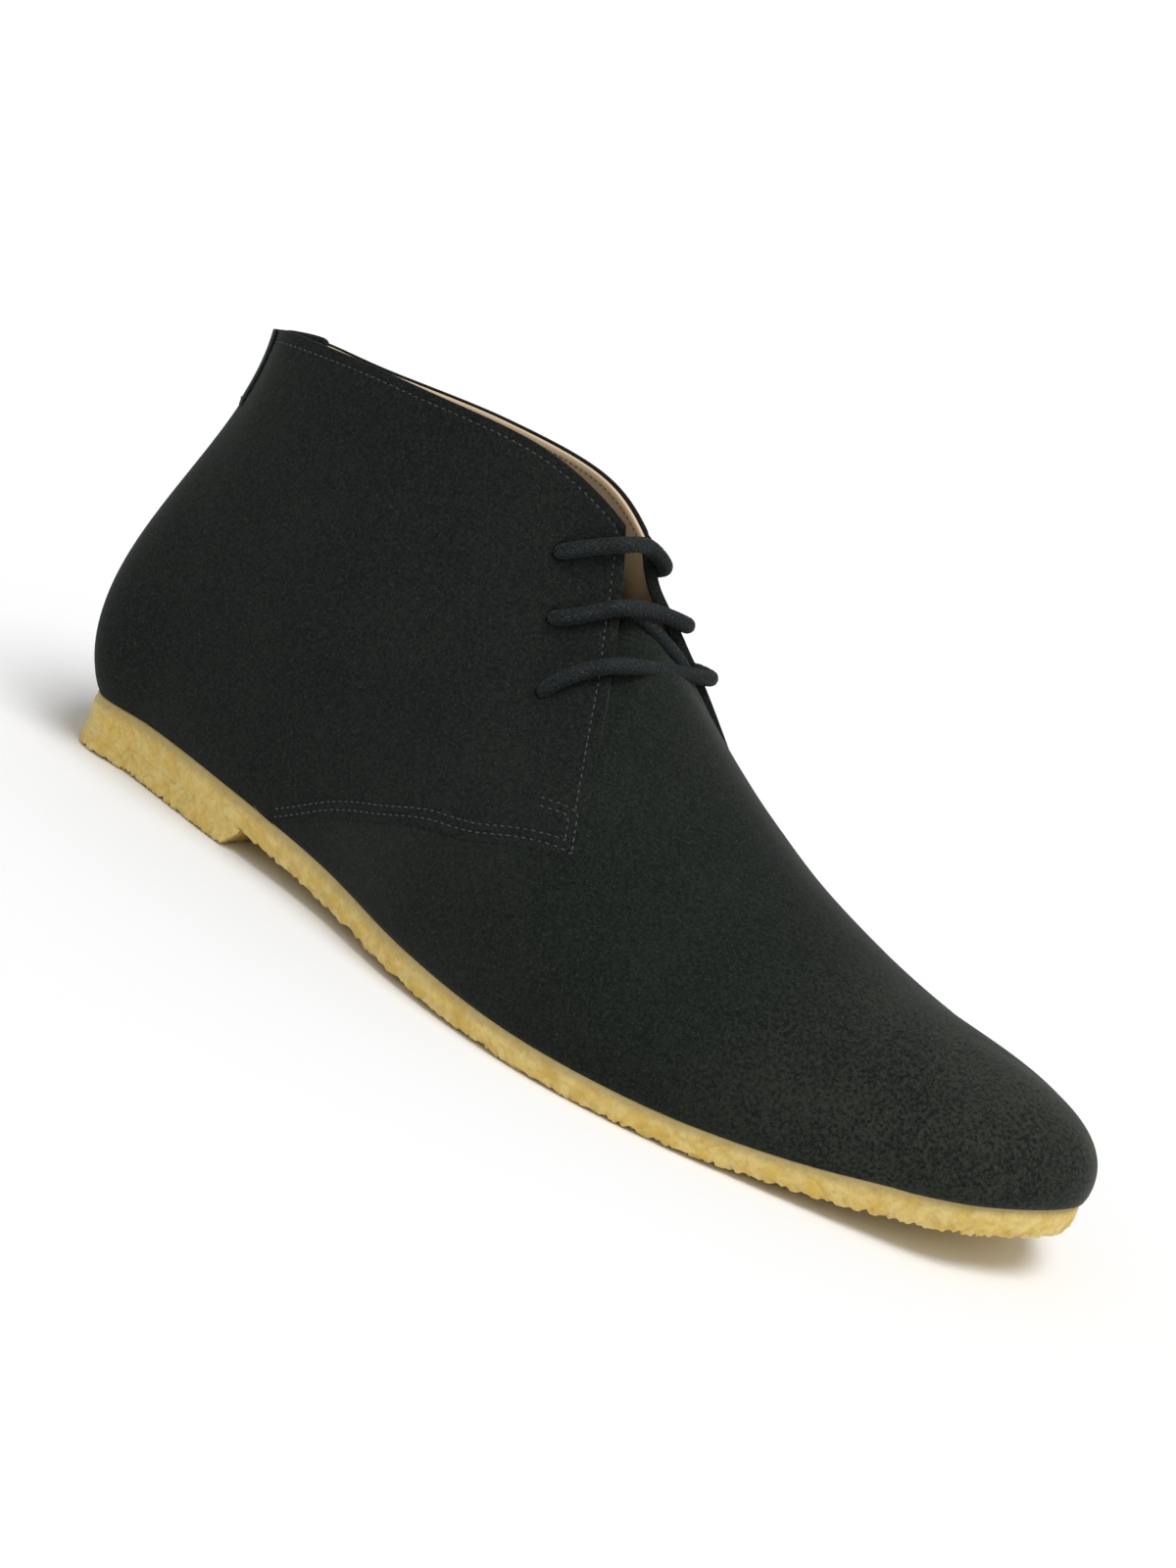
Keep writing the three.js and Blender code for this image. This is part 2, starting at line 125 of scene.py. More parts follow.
# Half widths of the sole on either side of its axis, heel to toe.
OUTLINE = Table(
    "x lateral medial",
    (8, 25, 23),
    (28, 27, 31),
    (60, 33, 30.5),
    (100, 39.5, 25.5),
    (135, 50, 34),
    (165, 54.5, 46),
    (190, 53.5, 49),
    (215, 47.5, 47.5),
    (240, 38, 43.5),
    (263, 29, 36.5),
    (283, 20, 26),
)

# Sections of the last, one for each station of the outline. x, half and z place a section's top: the top
# line up to station 5, the ridge of instep and vamp after it. inner lowers the medial top line; bulge and
# rise steer the section as it leaves the sole, crown and fall as it reaches the top.
SECTIONS = Table(
    "at x half z inner bulge rise crown fall",
    (0, 8, 0, 113.5, 0, 17, 29, -1.5, 33),
    (1, 14.5, 9, 116.5, 2.5, 17.5, 32, -1.5, 34),
    (2, 29, 17, 120, 7, 11.5, 28, 3, 33),
    (3, 67, 20, 123, 7.5, 7.5, 26, 6, 34),
    (4, 103, 14, 122.5, 6.5, 6, 24, 10.5, 36),
    (5, 126, 6, 113, 4, 6, 24, 16, 38),
    (6, 141, 0, 97.5, 0, 6, 22, 20, 26),
    (7, 160, 0, 76, 0, 7, 19, 22, 13),
    (8, 185, 0, 60, 0, 8, 15, 23, 8),
    (9, 209.5, 0, 50, 0, 7, 14, 22, 4.5),
    (10, 232, 0, 43.8, 0, 6, 14, 20, 2),
    (11, 249.5, 0, 41.6, 0, 4, 14.5, 19, 0.8),
    (12, 257, 0, 40.9, 0, 2.5, 15.5, 19, 0),
)

# The quarter's lower edge and its facing, as shares of a section's height: 0 at the sole, 1 at the top.
QUARTER_LOWER_EDGE = Table(
    "at up",
    (3.5, 0),
    (3.9, 0.13),
    (4.4, 0.225),
    (4.85, 0.3),
    (5.4, 0.35),
    (6.5, 0.44),
)
FACING_EDGE = Table(
    "up lateral medial",
    (0.44, 6.53, 6.58),
    (0.61, 6.25, 6.36),
    (0.75, 5.95, 6.12),
    (0.88, 5.54, 5.74),
    (1, 5, 5.04),
)

# The middle line of vamp and tongue inside the throat, from the tongue's top down to the vamp.
THROAT = Table(
    "x z half drop",
    (127, 99.5, 6, 3),
    (136, 92, 9.5, 4.5),
    (145, 85.5, 16, 7),
    (152, 79.8, 21, 12),
    (160, 73.6, 25, 14),
    (168, 68, 23, 10.5),
    (176, 62.5, 19, 7),
    (184, 58, 17, 6),
)

# Punched lace holes, top to bottom, by station and share of the section's height. crossing is the share
# at which the bar of lace from that hole leaves the facing's edge, and slip is how much lower it crosses
# the medial one. arch is how many millimetres the bar's middle is lifted.
LACE_HOLES = Table(
    "at up crossing slip arch",
    (4.62, 0.87, 0.975, 0.01, 2.4),
    (4.94, 0.78, 0.865, 0.035, 1.2),
    (5.31, 0.66, 0.755, 0.025, 0.6),
)

# The strand inside the throat, from the lateral middle hole to the medial bottom one.
LACE_CROSSING = Table(
    "x y z",
    (133, -6.5, 95),
    (140, 3, 90.5),
    (146, 12, 82),
)

STATIONS = 12
COLLAR_END = 5
THROAT_SHIFT_RUN = 36
PACKED_SWELLING = 0.3


def eased(value: Array) -> Array:
    """A soft step from 0 to 1."""
    v = np.clip(value, 0, 1)
    return v * v * (3 - 2 * v)


def unit(vectors: Array) -> Array:
    """The same directions at length 1."""
    return vectors / np.maximum(np.linalg.norm(vectors, axis=-1, keepdims=True), 1e-12)


def centripetal(p0: Array, p1: Array, p2: Array, p3: Array, s: Array) -> Array:
    """Points of a centripetal curve, from the second of four corners to the third.

    Args:
        p0: The corner before the stretch.
        p1: Where the stretch starts.
        p2: Where it ends.
        p3: The corner after it.
        s: 0 at the start and 1 at the end, with a last axis of one value.

    Returns:
        The points.
    """
    d0, d1, d2 = (
        np.sqrt(np.linalg.norm(b - a, axis=-1, keepdims=True)) for a, b in ((p0, p1), (p1, p2), (p2, p3))
    )
    leave = ((p1 - p0) / d0 - (p2 - p0) / (d0 + d1) + (p2 - p1) / d1) * d1
    arrive = ((p2 - p1) / d1 - (p3 - p1) / (d1 + d2) + (p3 - p2) / d2) * d1
    return (
        p1
        + leave * s
        + (-3 * p1 + 3 * p2 - 2 * leave - arrive) * s**2
        + (2 * p1 - 2 * p2 + leave + arrive) * s**3
    )


class Last:
    """The boot's form: the outline of the sole and the surface that rises from it."""

    heel_seat = 14.2
    seat_end_x = 40
    seat_slope = 145
    ball_thickness = 7.2
    toe_thickening = 1.4
    toe_start_x = 235
    toe_run = 50
    waist_clearance = 5.6
    waist_curve = 1.5
    toe_spring = 12.5
    length = 295
    toe_tip_y = 2.5
    breast_top_x = 70
    flat_start_x = 178
    flat_end_x = 202
    feather_inset = 1
    gap = 0.3
    ridge_shift = 2
    ridge_rounding = 9
    ridge_run = 1.5
    shift_run = 2
    step = 0.02
    slope_step = 0.05

    @cached_property
    def _knots(self) -> Array:
        """The outline's corners, round from the heel by the lateral side, toe and medial side."""
        lateral = np.stack([OUTLINE["x"], -OUTLINE["lateral"]], -1)
        medial = np.stack([OUTLINE["x"], OUTLINE["medial"]], -1)[::-1]
        return np.concatenate([[[0, 0]], lateral, [[self.length, self.toe_tip_y]], medial])

    def outline(self, side: Side, station: Array) -> Array:
        """Points of the sole's outline, a closed centripetal curve through the knots.

        Args:
            side: Which side of the boot.
            station: 0 at the heel's back, 12 at the toe's tip.

        Returns:
            x and y of each point.
        """
        station = np.asarray(station, float)
        count = 2 * STATIONS
        t = np.mod(station if side is Side.LATERAL else count - station, count)
        i = np.floor(t).astype(int) % count
        s = (t - np.floor(t))[..., None]
        return centripetal(*(self._knots[(i + k) % count] for k in (-1, 0, 1, 2)), s)

    def outward(self, side: Side, station: Array) -> Array:
        """The outline's outward direction, level, with z 0."""
        station = np.asarray(station, float)
        ahead = self.outline(side, np.minimum(station + self.step, STATIONS))
        run = unit(ahead - self.outline(side, np.maximum(station - self.step, 0)))
        turn = -side.value
        out = np.stack([run[..., 1] * turn, -run[..., 0] * turn, np.zeros_like(station)], -1)
        out[station <= 0] = (-1, 0, 0)
        out[station >= STATIONS] = (1, 0, 0)
        return out

    def spring(self, x: Array) -> Array:
        """How far the toe spring lifts the sole at x."""
        past = np.maximum(x - self.flat_end_x, 0) / (self.length - self.flat_end_x)
        return self.toe_spring * past**2

    def sole_top(self, x: Array) -> Array:
        """Height of the sole's top at x."""
        share = eased((x - self.seat_end_x) / self.seat_slope)
        thickening = self.toe_thickening * eased((x - self.toe_start_x) / self.toe_run)
        return self.heel_seat + (self.ball_thickness - self.heel_seat) * share + thickening + self.spring(x)

    def sole_under(self, x: Array) -> Array:
        """Height of the through-sole's underside at x."""
        run = np.clip((x - self.breast_top_x) / (self.flat_start_x - self.breast_top_x), 0, 1)
        return self.waist_clearance * (1 - run) ** self.waist_curve + self.spring(x)

    def on_edge(self, side: Side, station: Array, proud: Array, z: Array | None = None) -> Array:
        """Points of the outline moved outwards by proud, at height z, or at the sole's top."""
        rim = self.outline(side, station)
        point = np.concatenate([rim, np.zeros_like(rim[..., :1])], -1)
        point = point + self.outward(side, station) * np.asarray(proud, float)[..., None]
        point[..., 2] = self.sole_top(point[..., 0]) if z is None else z
        return point

    def _ridge_slope(self, station: Array) -> Array:
        """How steeply the ridge falls at a station, height for each millimetre towards the toe."""
        near = np.maximum(station, COLLAR_END)
        ahead, behind = np.minimum(near + self.slope_step, STATIONS), near - self.slope_step
        rise, run = (SECTIONS.read(name, ahead) - SECTIONS.read(name, behind) for name in ("z", "x"))
        return rise / run

    def surface(self, side: Side, station: Array, up: Array) -> Array:
        """Points of the last's surface.

        Args:
            side: Which side of the boot.
            station: 0 at the heel's back, 12 at the toe's tip.
            up: 0 at the sole, 1 at the top line or the ridge.

        Returns:
            x, y and z of each point.
        """
        station, up = np.broadcast_arrays(np.asarray(station, float), np.asarray(up, float))
        names = "x half z inner bulge rise crown fall".split()
        row = {name: SECTIONS.read(name, station) for name in names}
        out = self.outward(side, station)
        ridge = eased((station - COLLAR_END) / self.ridge_run)
        roof = row["fall"] / np.maximum(row["crown"], 1) * ridge
        half = np.where(station >= COLLAR_END + 1, 0, np.maximum(row["half"], 0))
        lowered = row["inner"] * (1 - ridge) if side is Side.MEDIAL else 0
        foot = self.on_edge(side, station, np.full(station.shape, -self.feather_inset))
        foot[..., 2] += self.gap
        shift = self.ridge_shift * eased((station - COLLAR_END) / self.shift_run)
        height = row["z"] - lowered + roof * self.ridge_rounding
        top = np.stack([row["x"], side.value * half + shift, height], -1)
        rise = np.zeros_like(top)
        rise[..., 2] = 1
        leaving = foot + out * row["bulge"][..., None] + rise * row["rise"][..., None]
        levelled = ridge * self._ridge_slope(station) * out[..., 0] * row["crown"]
        arriving = top + out * row["crown"][..., None] + rise * (levelled - row["fall"])[..., None]
        u = up[..., None]
        v = 1 - u
        point = v**3 * foot + 3 * v**2 * u * leaving + 3 * v * u**2 * arriving + u**3 * top
        away = np.hypot(point[..., 0] - top[..., 0], point[..., 1] - top[..., 1])
        point[..., 2] -= up * roof * (np.hypot(away, self.ridge_rounding) - away)
        return point

    def _side_normal(self, side: Side, station: Array, up: Array) -> Array:
        """The outward normal from one side's own surface."""
        k = np.clip(station, self.step, STATIONS - 6 * self.step)
        v = np.clip(up, self.step, 1 - self.step)
        along = self.surface(side, k + self.step, v) - self.surface(side, k - self.step, v)
        rise = self.surface(side, k, v + self.step) - self.surface(side, k, v - self.step)
        return unit(np.cross(along, rise) * -side.value)

    def normal(self, side: Side, station: Array, up: Array) -> Array:
        """The outward normal, shared by both sides where they meet."""
        station, up = np.broadcast_arrays(np.asarray(station, float), np.asarray(up, float))
        own = self._side_normal(side, station, up)
        other = Side(-side.value)
        shared = (station <= 0) | (station >= STATIONS) | ((up >= 1) & (station >= COLLAR_END + 1))
        return unit(np.where(shared[..., None], own + self._side_normal(other, station, up), own))

    def off(self, side: Side, station: Array, up: Array, offset: Array) -> Array:
        """Points at a distance outside the last's surface."""
        lift = np.asarray(offset, float)
        return self.surface(side, station, up) + self.normal(side, station, up) * lift[..., None]


LAST = Last()


def facing_at(side: Side, up: Array) -> Array:
    """Station of the quarter's facing edge at a share of the section's height."""
    return FACING_EDGE.read(side.name.lower(), up, along="up")


def throat_middle(x: Array) -> Array:
    """y of the throat's middle line at x, which moves to the instep's ridge."""
    return LAST.ridge_shift * eased((x - THROAT["x"][0]) / THROAT_SHIFT_RUN)


def placed(name: str, data: bpy.types.ID) -> bpy.types.Object:
    """A new object in the scene."""
    thing = bpy.data.objects.new(name, data)
    bpy.context.scene.collection.objects.link(thing)
    return thing


class Draft:
    """A mesh in the making: points in the last's millimetres, faces between them and named point values."""

    origin = np.zeros(3)

    def __init__(self) -> None:
        """Starts with nothing."""
        self._points: list[Array] = []
        self._faces: list[Array] = []
        self._values: dict[str, dict[int, Array]] = {}
        self._count = 0

    def grid(self, points: Array, **values: Array) -> Array:
        """Adds a grid of points.

        Args:
            points: Rows and columns of points.
            values: Named values at the points.

        Returns:
            The points' indices, in rows and columns.
        """
        flat = points.reshape(-1, 3)
        index = self._count + np.arange(len(flat)).reshape(points.shape[:-1])
        for name, value in values.items():
            block = np.broadcast_to(value, points.shape[:-1]).ravel()
            self._values.setdefault(name, {})[self._count] = block
        self._points.append(flat)
        self._count += len(flat)
        return index

    def skin(self, index: Array, flipped: bool = False) -> None:
        """Adds the faces between neighbours of a grid."""
        corners = [index[:-1, :-1], index[1:, :-1], index[1:, 1:], index[:-1, 1:]]
        quads = np.stack(corners[::-1] if flipped else corners, -1).reshape(-1, 4)
        self._faces.append(quads)

    def wall(self, first: Array, second: Array, flipped: bool = False) -> None:
        """Adds the faces between two lines of points."""
        self.skin(np.stack([first, second]), flipped)

    def build(self, name: str, closed: bool, merge: float = 0.004) -> bpy.types.Object:
        """Makes the mesh object, with doubled points merged and its faces pointing out.

        Args:
            name: The object's name.
            closed: Whether the mesh is one closed surface.
            merge: How near points are merged, in millimetres.

        Returns:
            The new object.
        """
        points = (np.concatenate(self._points) + self.origin) * MM
        mesh = bpy.data.meshes.new(name)
        mesh.from_pydata(points.tolist(), [], np.concatenate(self._faces).tolist())
        for key, blocks in self._values.items():
            values = np.zeros(len(points))
            for start, block in blocks.items():
                values[start : start + len(block)] = block
            mesh.attributes.new(key, "FLOAT", "POINT").data.foreach_set("value", values)
        body = bmesh.new()
        body.from_mesh(mesh)
        bmesh.ops.remove_doubles(body, verts=body.verts, dist=merge * MM)
        bmesh.ops.dissolve_degenerate(body, edges=body.edges, dist=merge * MM / 4)
        if closed:
            bmesh.ops.recalc_face_normals(body, faces=body.faces)
        body.to_mesh(mesh)
        body.free()
        mesh.polygons.foreach_set("use_smooth", [True] * len(mesh.polygons))
        return placed(name, mesh)


def thickened(piece: bpy.types.Object, thickness: float) -> bpy.types.Object:
    """Gives a sheet its thickness, on the side away from its faces.

    Args:
        piece: The sheet.
        thickness: In millimetres.

    Returns:
        The same object with a solid mesh.
    """
    wall = piece.modifiers.new("wall", "SOLIDIFY")
    wall.thickness = thickness * MM
    wall.offset = -1
    wall.use_even_offset = False
    return applied(piece)


def applied(piece: bpy.types.Object) -> bpy.types.Object:
    """Turns the piece's modifiers into its own mesh."""
    depsgraph = bpy.context.evaluated_depsgraph_get()
    mesh = bpy.data.meshes.new_from_object(piece.evaluated_get(depsgraph))
    piece.modifiers.clear()
    old, piece.data = piece.data, mesh
    bpy.data.meshes.remove(old)
    return piece


def punched(piece: bpy.types.Object, cutters: bpy.types.Object) -> bpy.types.Object:
    """Cuts the lace holes through a piece."""
    cut = piece.modifiers.new("lace holes", "BOOLEAN")
    cut.object = cutters
    cut.operation = "DIFFERENCE"
    cut.solver = "EXACT"
    return applied(piece)


def settle(piece: bpy.types.Object, material: bpy.types.Material, slot: str, *nodes: str) -> None:
    """Finishes a piece: its material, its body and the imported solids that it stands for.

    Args:
        piece: The finished mesh object.
        material: What it is made of.
        slot: The record's material slot; not used.
        nodes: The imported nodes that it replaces.
    """
    piece.data.materials.clear()
    piece.data.materials.append(material)
    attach(piece, BODY)
    if nodes:
        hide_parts(*nodes)
    log.info("%s: %d faces", piece.name, len(piece.data.polygons))


# ---- shading -------------------------------------------------------------------------------------


class NodeTree:
    """A node tree, to which one method adds any node."""

    tree: bpy.types.NodeTree

    def add(self, kind: str, settings: dict[str, Any] | None = None, **sockets: Any) -> bpy.types.Node:
        """Adds a node.

        Args:
            kind: The node's type.
            settings: Its settings, made first; stops are a colour ramp's places and colours.
            sockets: Values or links of its sockets, by identifier or name, with _ for a space.

        Returns:
            The new node.
        """
        node = self.tree.nodes.new(kind)
        for key, value in (settings or {}).items():
            if key == "stops":
                ramp = node.color_ramp.elements
                while len(ramp) < len(value):
                    ramp.new(0.5)
                for element, (place, colour) in zip(ramp, value):
                    element.position, element.color = place, (*colour, 1)
            else:
                setattr(node, key, value)
        for key, value in sockets.items():
            self.feed(self._socket(node, key), value)
        return node

    @staticmethod
    def _socket(node: bpy.types.Node, key: str) -> bpy.types.NodeSocket:
        """An input socket by its identifier or its name."""
        for socket in node.inputs:
            if socket.identifier == key or socket.identifier == key.replace("_", " "):
                return socket
        return node.inputs[key.replace("_", " ")]

    def feed(self, socket: bpy.types.NodeSocket, value: Any) -> None:
        """Sets a socket to a value, or links it."""
        if isinstance(value, Value):
            self.tree.links.new(value.socket, socket)
        elif isinstance(value, bpy.types.NodeSocket):
            self.tree.links.new(value, socket)
        elif isinstance(value, tuple) and len(value) == 3 and socket.type == "RGBA":
            socket.default_value = (*value, 1)
        else:
            socket.default_value = value


class Graph(NodeTree):
    """A material in the making."""

    def __init__(self, name: str) -> None:
        """Starts an empty material."""
        self.material = bpy.data.materials.new(name)
        self.material.use_nodes = True
        self.tree = self.material.node_tree
        self.tree.nodes.clear()

    @cached_property
    def place(self) -> bpy.types.NodeSocket:
        """The point's own place on the object, in metres."""
        return self.add("ShaderNodeTexCoord").outputs["Object"]

    def noise(self, size: float, detail: float = 3, roughness: float = 0.55, warp: float = 0) -> Value:
        """Soft noise whose features are about size millimetres across."""
        node = self.add(
            "ShaderNodeTexNoise",
            Vector=self.place,
            Scale=1 / (size * MM),
            Detail=detail,
            Roughness=roughness,
            Distortion=warp,
        )
        return Value(self, node.outputs[0])

    def attribute(self, name: str) -> Value:
        """A named value of the mesh's points."""
        return Value(self, self.add("ShaderNodeAttribute", {"attribute_name": name}).outputs["Fac"])

    def blend(self, share: Value, low: Any, high: Any) -> bpy.types.NodeSocket:
        """A colour between two others."""
        node = self.add(
            "ShaderNodeMix", {"data_type": "RGBA"}, Factor_Float=share, A_Color=low, B_Color=high
        )
        return next(s for s in node.outputs if s.identifier == "Result_Color")

    def bump(self, height: Value, depth: float, strength: float = 1) -> bpy.types.NodeSocket:
        """A normal from a height between 0 and 1, depth millimetres deep."""
        node = self.add("ShaderNodeBump", Height=height, Distance=depth * MM, Strength=strength)
        return node.outputs["Normal"]

    def finish(self, **sockets: Any) -> bpy.types.Material:
        """Ends the tree in one surface shader.

        Args:
            sockets: Values or links of the shader's sockets.

        Returns:
            The material.
        """
        shader = self.add("ShaderNodeBsdfPrincipled", **sockets)
        self.add("ShaderNodeOutputMaterial", Surface=shader.outputs["BSDF"])
        return self.material


class Value:
    """A number that varies over a surface. Arithmetic on it adds Math nodes."""

    def __init__(self, graph: Graph, socket: bpy.types.NodeSocket) -> None:
        """Wraps a socket of the graph."""
        self.graph = graph
        self.socket = socket

    def _math(self, operation: str, *others: Any, turned: bool = False) -> Value:
        """One Math node on this value and others."""
        node = self.graph.add("ShaderNodeMath", {"operation": operation})
        for socket, value in zip(node.inputs, (*others, self) if turned else (self, *others)):
            self.graph.feed(socket, value)
        return Value(self.graph, node.outputs[0])

    def __add__(self, other: Any) -> Value:
        """This plus other."""
        return self._math("ADD", other)

    __radd__ = __add__

    def __sub__(self, other: Any) -> Value:
        """This minus other."""
        return self._math("SUBTRACT", other)

    def __rsub__(self, other: Any) -> Value:
        """Other minus this."""
        return self._math("SUBTRACT", other, turned=True)

    def __mul__(self, other: Any) -> Value:
        """This times other."""
        return self._math("MULTIPLY", other)

    __rmul__ = __mul__

    def __pow__(self, other: Any) -> Value:
        """This to the power of other."""
        return self._math("POWER", other)

    def step(self, low: float, high: float) -> Value:
        """0 below low, 1 above high and soft between them."""
        node = self.graph.add(
            "ShaderNodeMapRange",
            {"interpolation_type": "SMOOTHSTEP"},
            Value=self,
            From_Min=low,
            From_Max=high,
        )
        return Value(self.graph, node.outputs[0])


Colour = tuple[float, float, float]


@dataclass(frozen=True)
class Nubuck:
    """Black nubuck: a fine nap, faint mottling, a soft bloom and a painted highlight, paler on the toe
    where light falls on its top.
    """

    dark: Colour = (0.0028, 0.005, 0.004)
    pale: Colour = (0.0125, 0.0158, 0.0118)
    # painted highlight: the paler colour of the lit top of the toe
    brushed: Colour = (0.033, 0.0365, 0.0275)
    bloom: float = 0.16

    def material(self, name: str) -> bpy.types.Material:
        """The finish as a material."""
        g = Graph(name)
        cloud = g.noise(28, 4, 0.6)
        nap = g.noise(0.95, 3, 0.8)
        fleck = g.noise(0.45, 1).step(0.6, 0.75)
        tone = (cloud * 0.4 + nap * 1.6 - 0.5).step(0.22, 0.78)
        # Painted highlight: the pale colour turns paler towards the toe.
        pale = g.blend(g.attribute("brushed"), self.pale, self.brushed)
        colour = g.blend(fleck * 0.5, g.blend(tone, self.dark, pale), (0.05, 0.055, 0.05))
        height = nap * 0.7 + g.noise(2.2, 3) * 0.6
        return g.finish(
            Base_Color=colour,
            Roughness=0.86 + cloud * 0.1,
            Specular_IOR_Level=0.12,
            Sheen_Weight=self.bloom,
            Sheen_Roughness=0.45,
            Sheen_Tint=(0.7, 0.74, 0.7),
            Normal=g.bump(height, 0.12, 0.7),
        )


@dataclass(frozen=True)
class Crepe:
    """Plantation crepe: waxy lumps, yellower below, duller along the upper edge and with painted shade in
    the creases between lumps.
    """

    honey: Colour = (0.69, 0.48, 0.11)
    straw: Colour = (0.76, 0.59, 0.215)
    dull: Colour = (0.45, 0.352, 0.15)
    # painted shade: the colour down in the creases between lumps
    crease: Colour = (0.38, 0.24, 0.07)

    def material(self) -> bpy.types.Material:
        """The finish as a material."""
        g = Graph("crepe")
        lumps = g.noise(5, 3, 0.6, 0.4)
        curd = g.noise(1.6, 3, 0.65)
        fibre = g.noise(0.9, 3, 0.75)
        rise = g.attribute("rise")
        body = g.blend(lumps.step(0.36, 0.64), self.honey, self.straw)
        edge = (rise + curd * 0.3).step(0.72, 1.05)
        toned = g.blend(edge * 0.8, body, self.dull)
        # Painted shade: darker brown in the creases between the lumps; the fibre noise adds the crepe's own
        # streaks.
        colour = g.blend((1 - g.attribute("lump")) * 0.35 + fibre.step(0.5, 0.75) * 0.3, toned, self.crease)
        return g.finish(
            Base_Color=colour,
            Roughness=0.5 + curd * 0.25,
            Subsurface_Weight=0.22,
            Subsurface_Radius=(1.0, 0.6, 0.25),
            Subsurface_Scale=0.0025,
            Specular_IOR_Level=0.35,
            Normal=g.bump(curd * 0.8 + fibre * 0.3, 0.35, 0.6),
        )


@dataclass(frozen=True)
class LiningLeather:
    """Smooth undyed leather, for linings and sock, with painted shade: browner towards the bottom of the
    quarter linings, where shade falls inside the boot.
    """

    tan: Colour = (0.8, 0.63, 0.42)
    warm: Colour = (0.64, 0.48, 0.29)
    # painted shade: the colour of the lining where it lies in shade inside the boot
    painted_shade: Colour = (0.1, 0.085, 0.055)

    def material(self, name: str) -> bpy.types.Material:
        """The finish as a material."""
        g = Graph(name)
        cloud = g.noise(16, 4)
        pores = g.noise(0.5, 2, 0.7)
        unshaded = g.blend((cloud * 0.8 + pores * 0.3).step(0.3, 0.85), self.tan, self.warm)
        # Painted shade: the quarter linings darken towards the bottom, where the inside of the boot lies in
        # shade.
        colour = g.blend(g.attribute("deep") * (0.55 + pores * 0.4), unshaded, self.painted_shade)
        return g.finish(
            Base_Color=colour,
            Roughness=0.55 + pores * 0.2,
            Specular_IOR_Level=0.3,
            Normal=g.bump(pores, 0.08, 0.6),
        )


@dataclass(frozen=True)
class Yarn:
    """Waxed yarn, for laces and sewing thread, with painted shade between a braid's strands."""

    dark: Colour
    pale: Colour
    roughness: float
    braided: bool = False

    def material(self, name: str) -> bpy.types.Material:
        """The finish as a material."""
        g = Graph(name)
        fibre = g.noise(0.35, 2, 0.7)
        share = fibre.step(0.3, 0.75)
        if self.braided:
            fleck = g.noise(0.55, 1).step(0.56, 0.68)
            # Painted shade: darker down between the braid's strands, where the strand height is low; the
            # flecks are the yarn's own specks.
            share = (0.25 + share * 0.75) * g.attribute("strand") ** 2.2 * (0.45 + fleck * 1.2)
        return g.finish(
            Base_Color=g.blend(share, self.dark, self.pale),
            Roughness=self.roughness + fibre * 0.15,
            Specular_IOR_Level=0.2,
            Sheen_Weight=0.04,
            Sheen_Roughness=0.4,
            Normal=g.bump(fibre, 0.08, 0.7),
        )


# ---- the sole ------------------------------------------------------------------------------------


DOWN = np.array([0, 0, -1.0])
AHEAD = np.array([1.0, 0, 0])


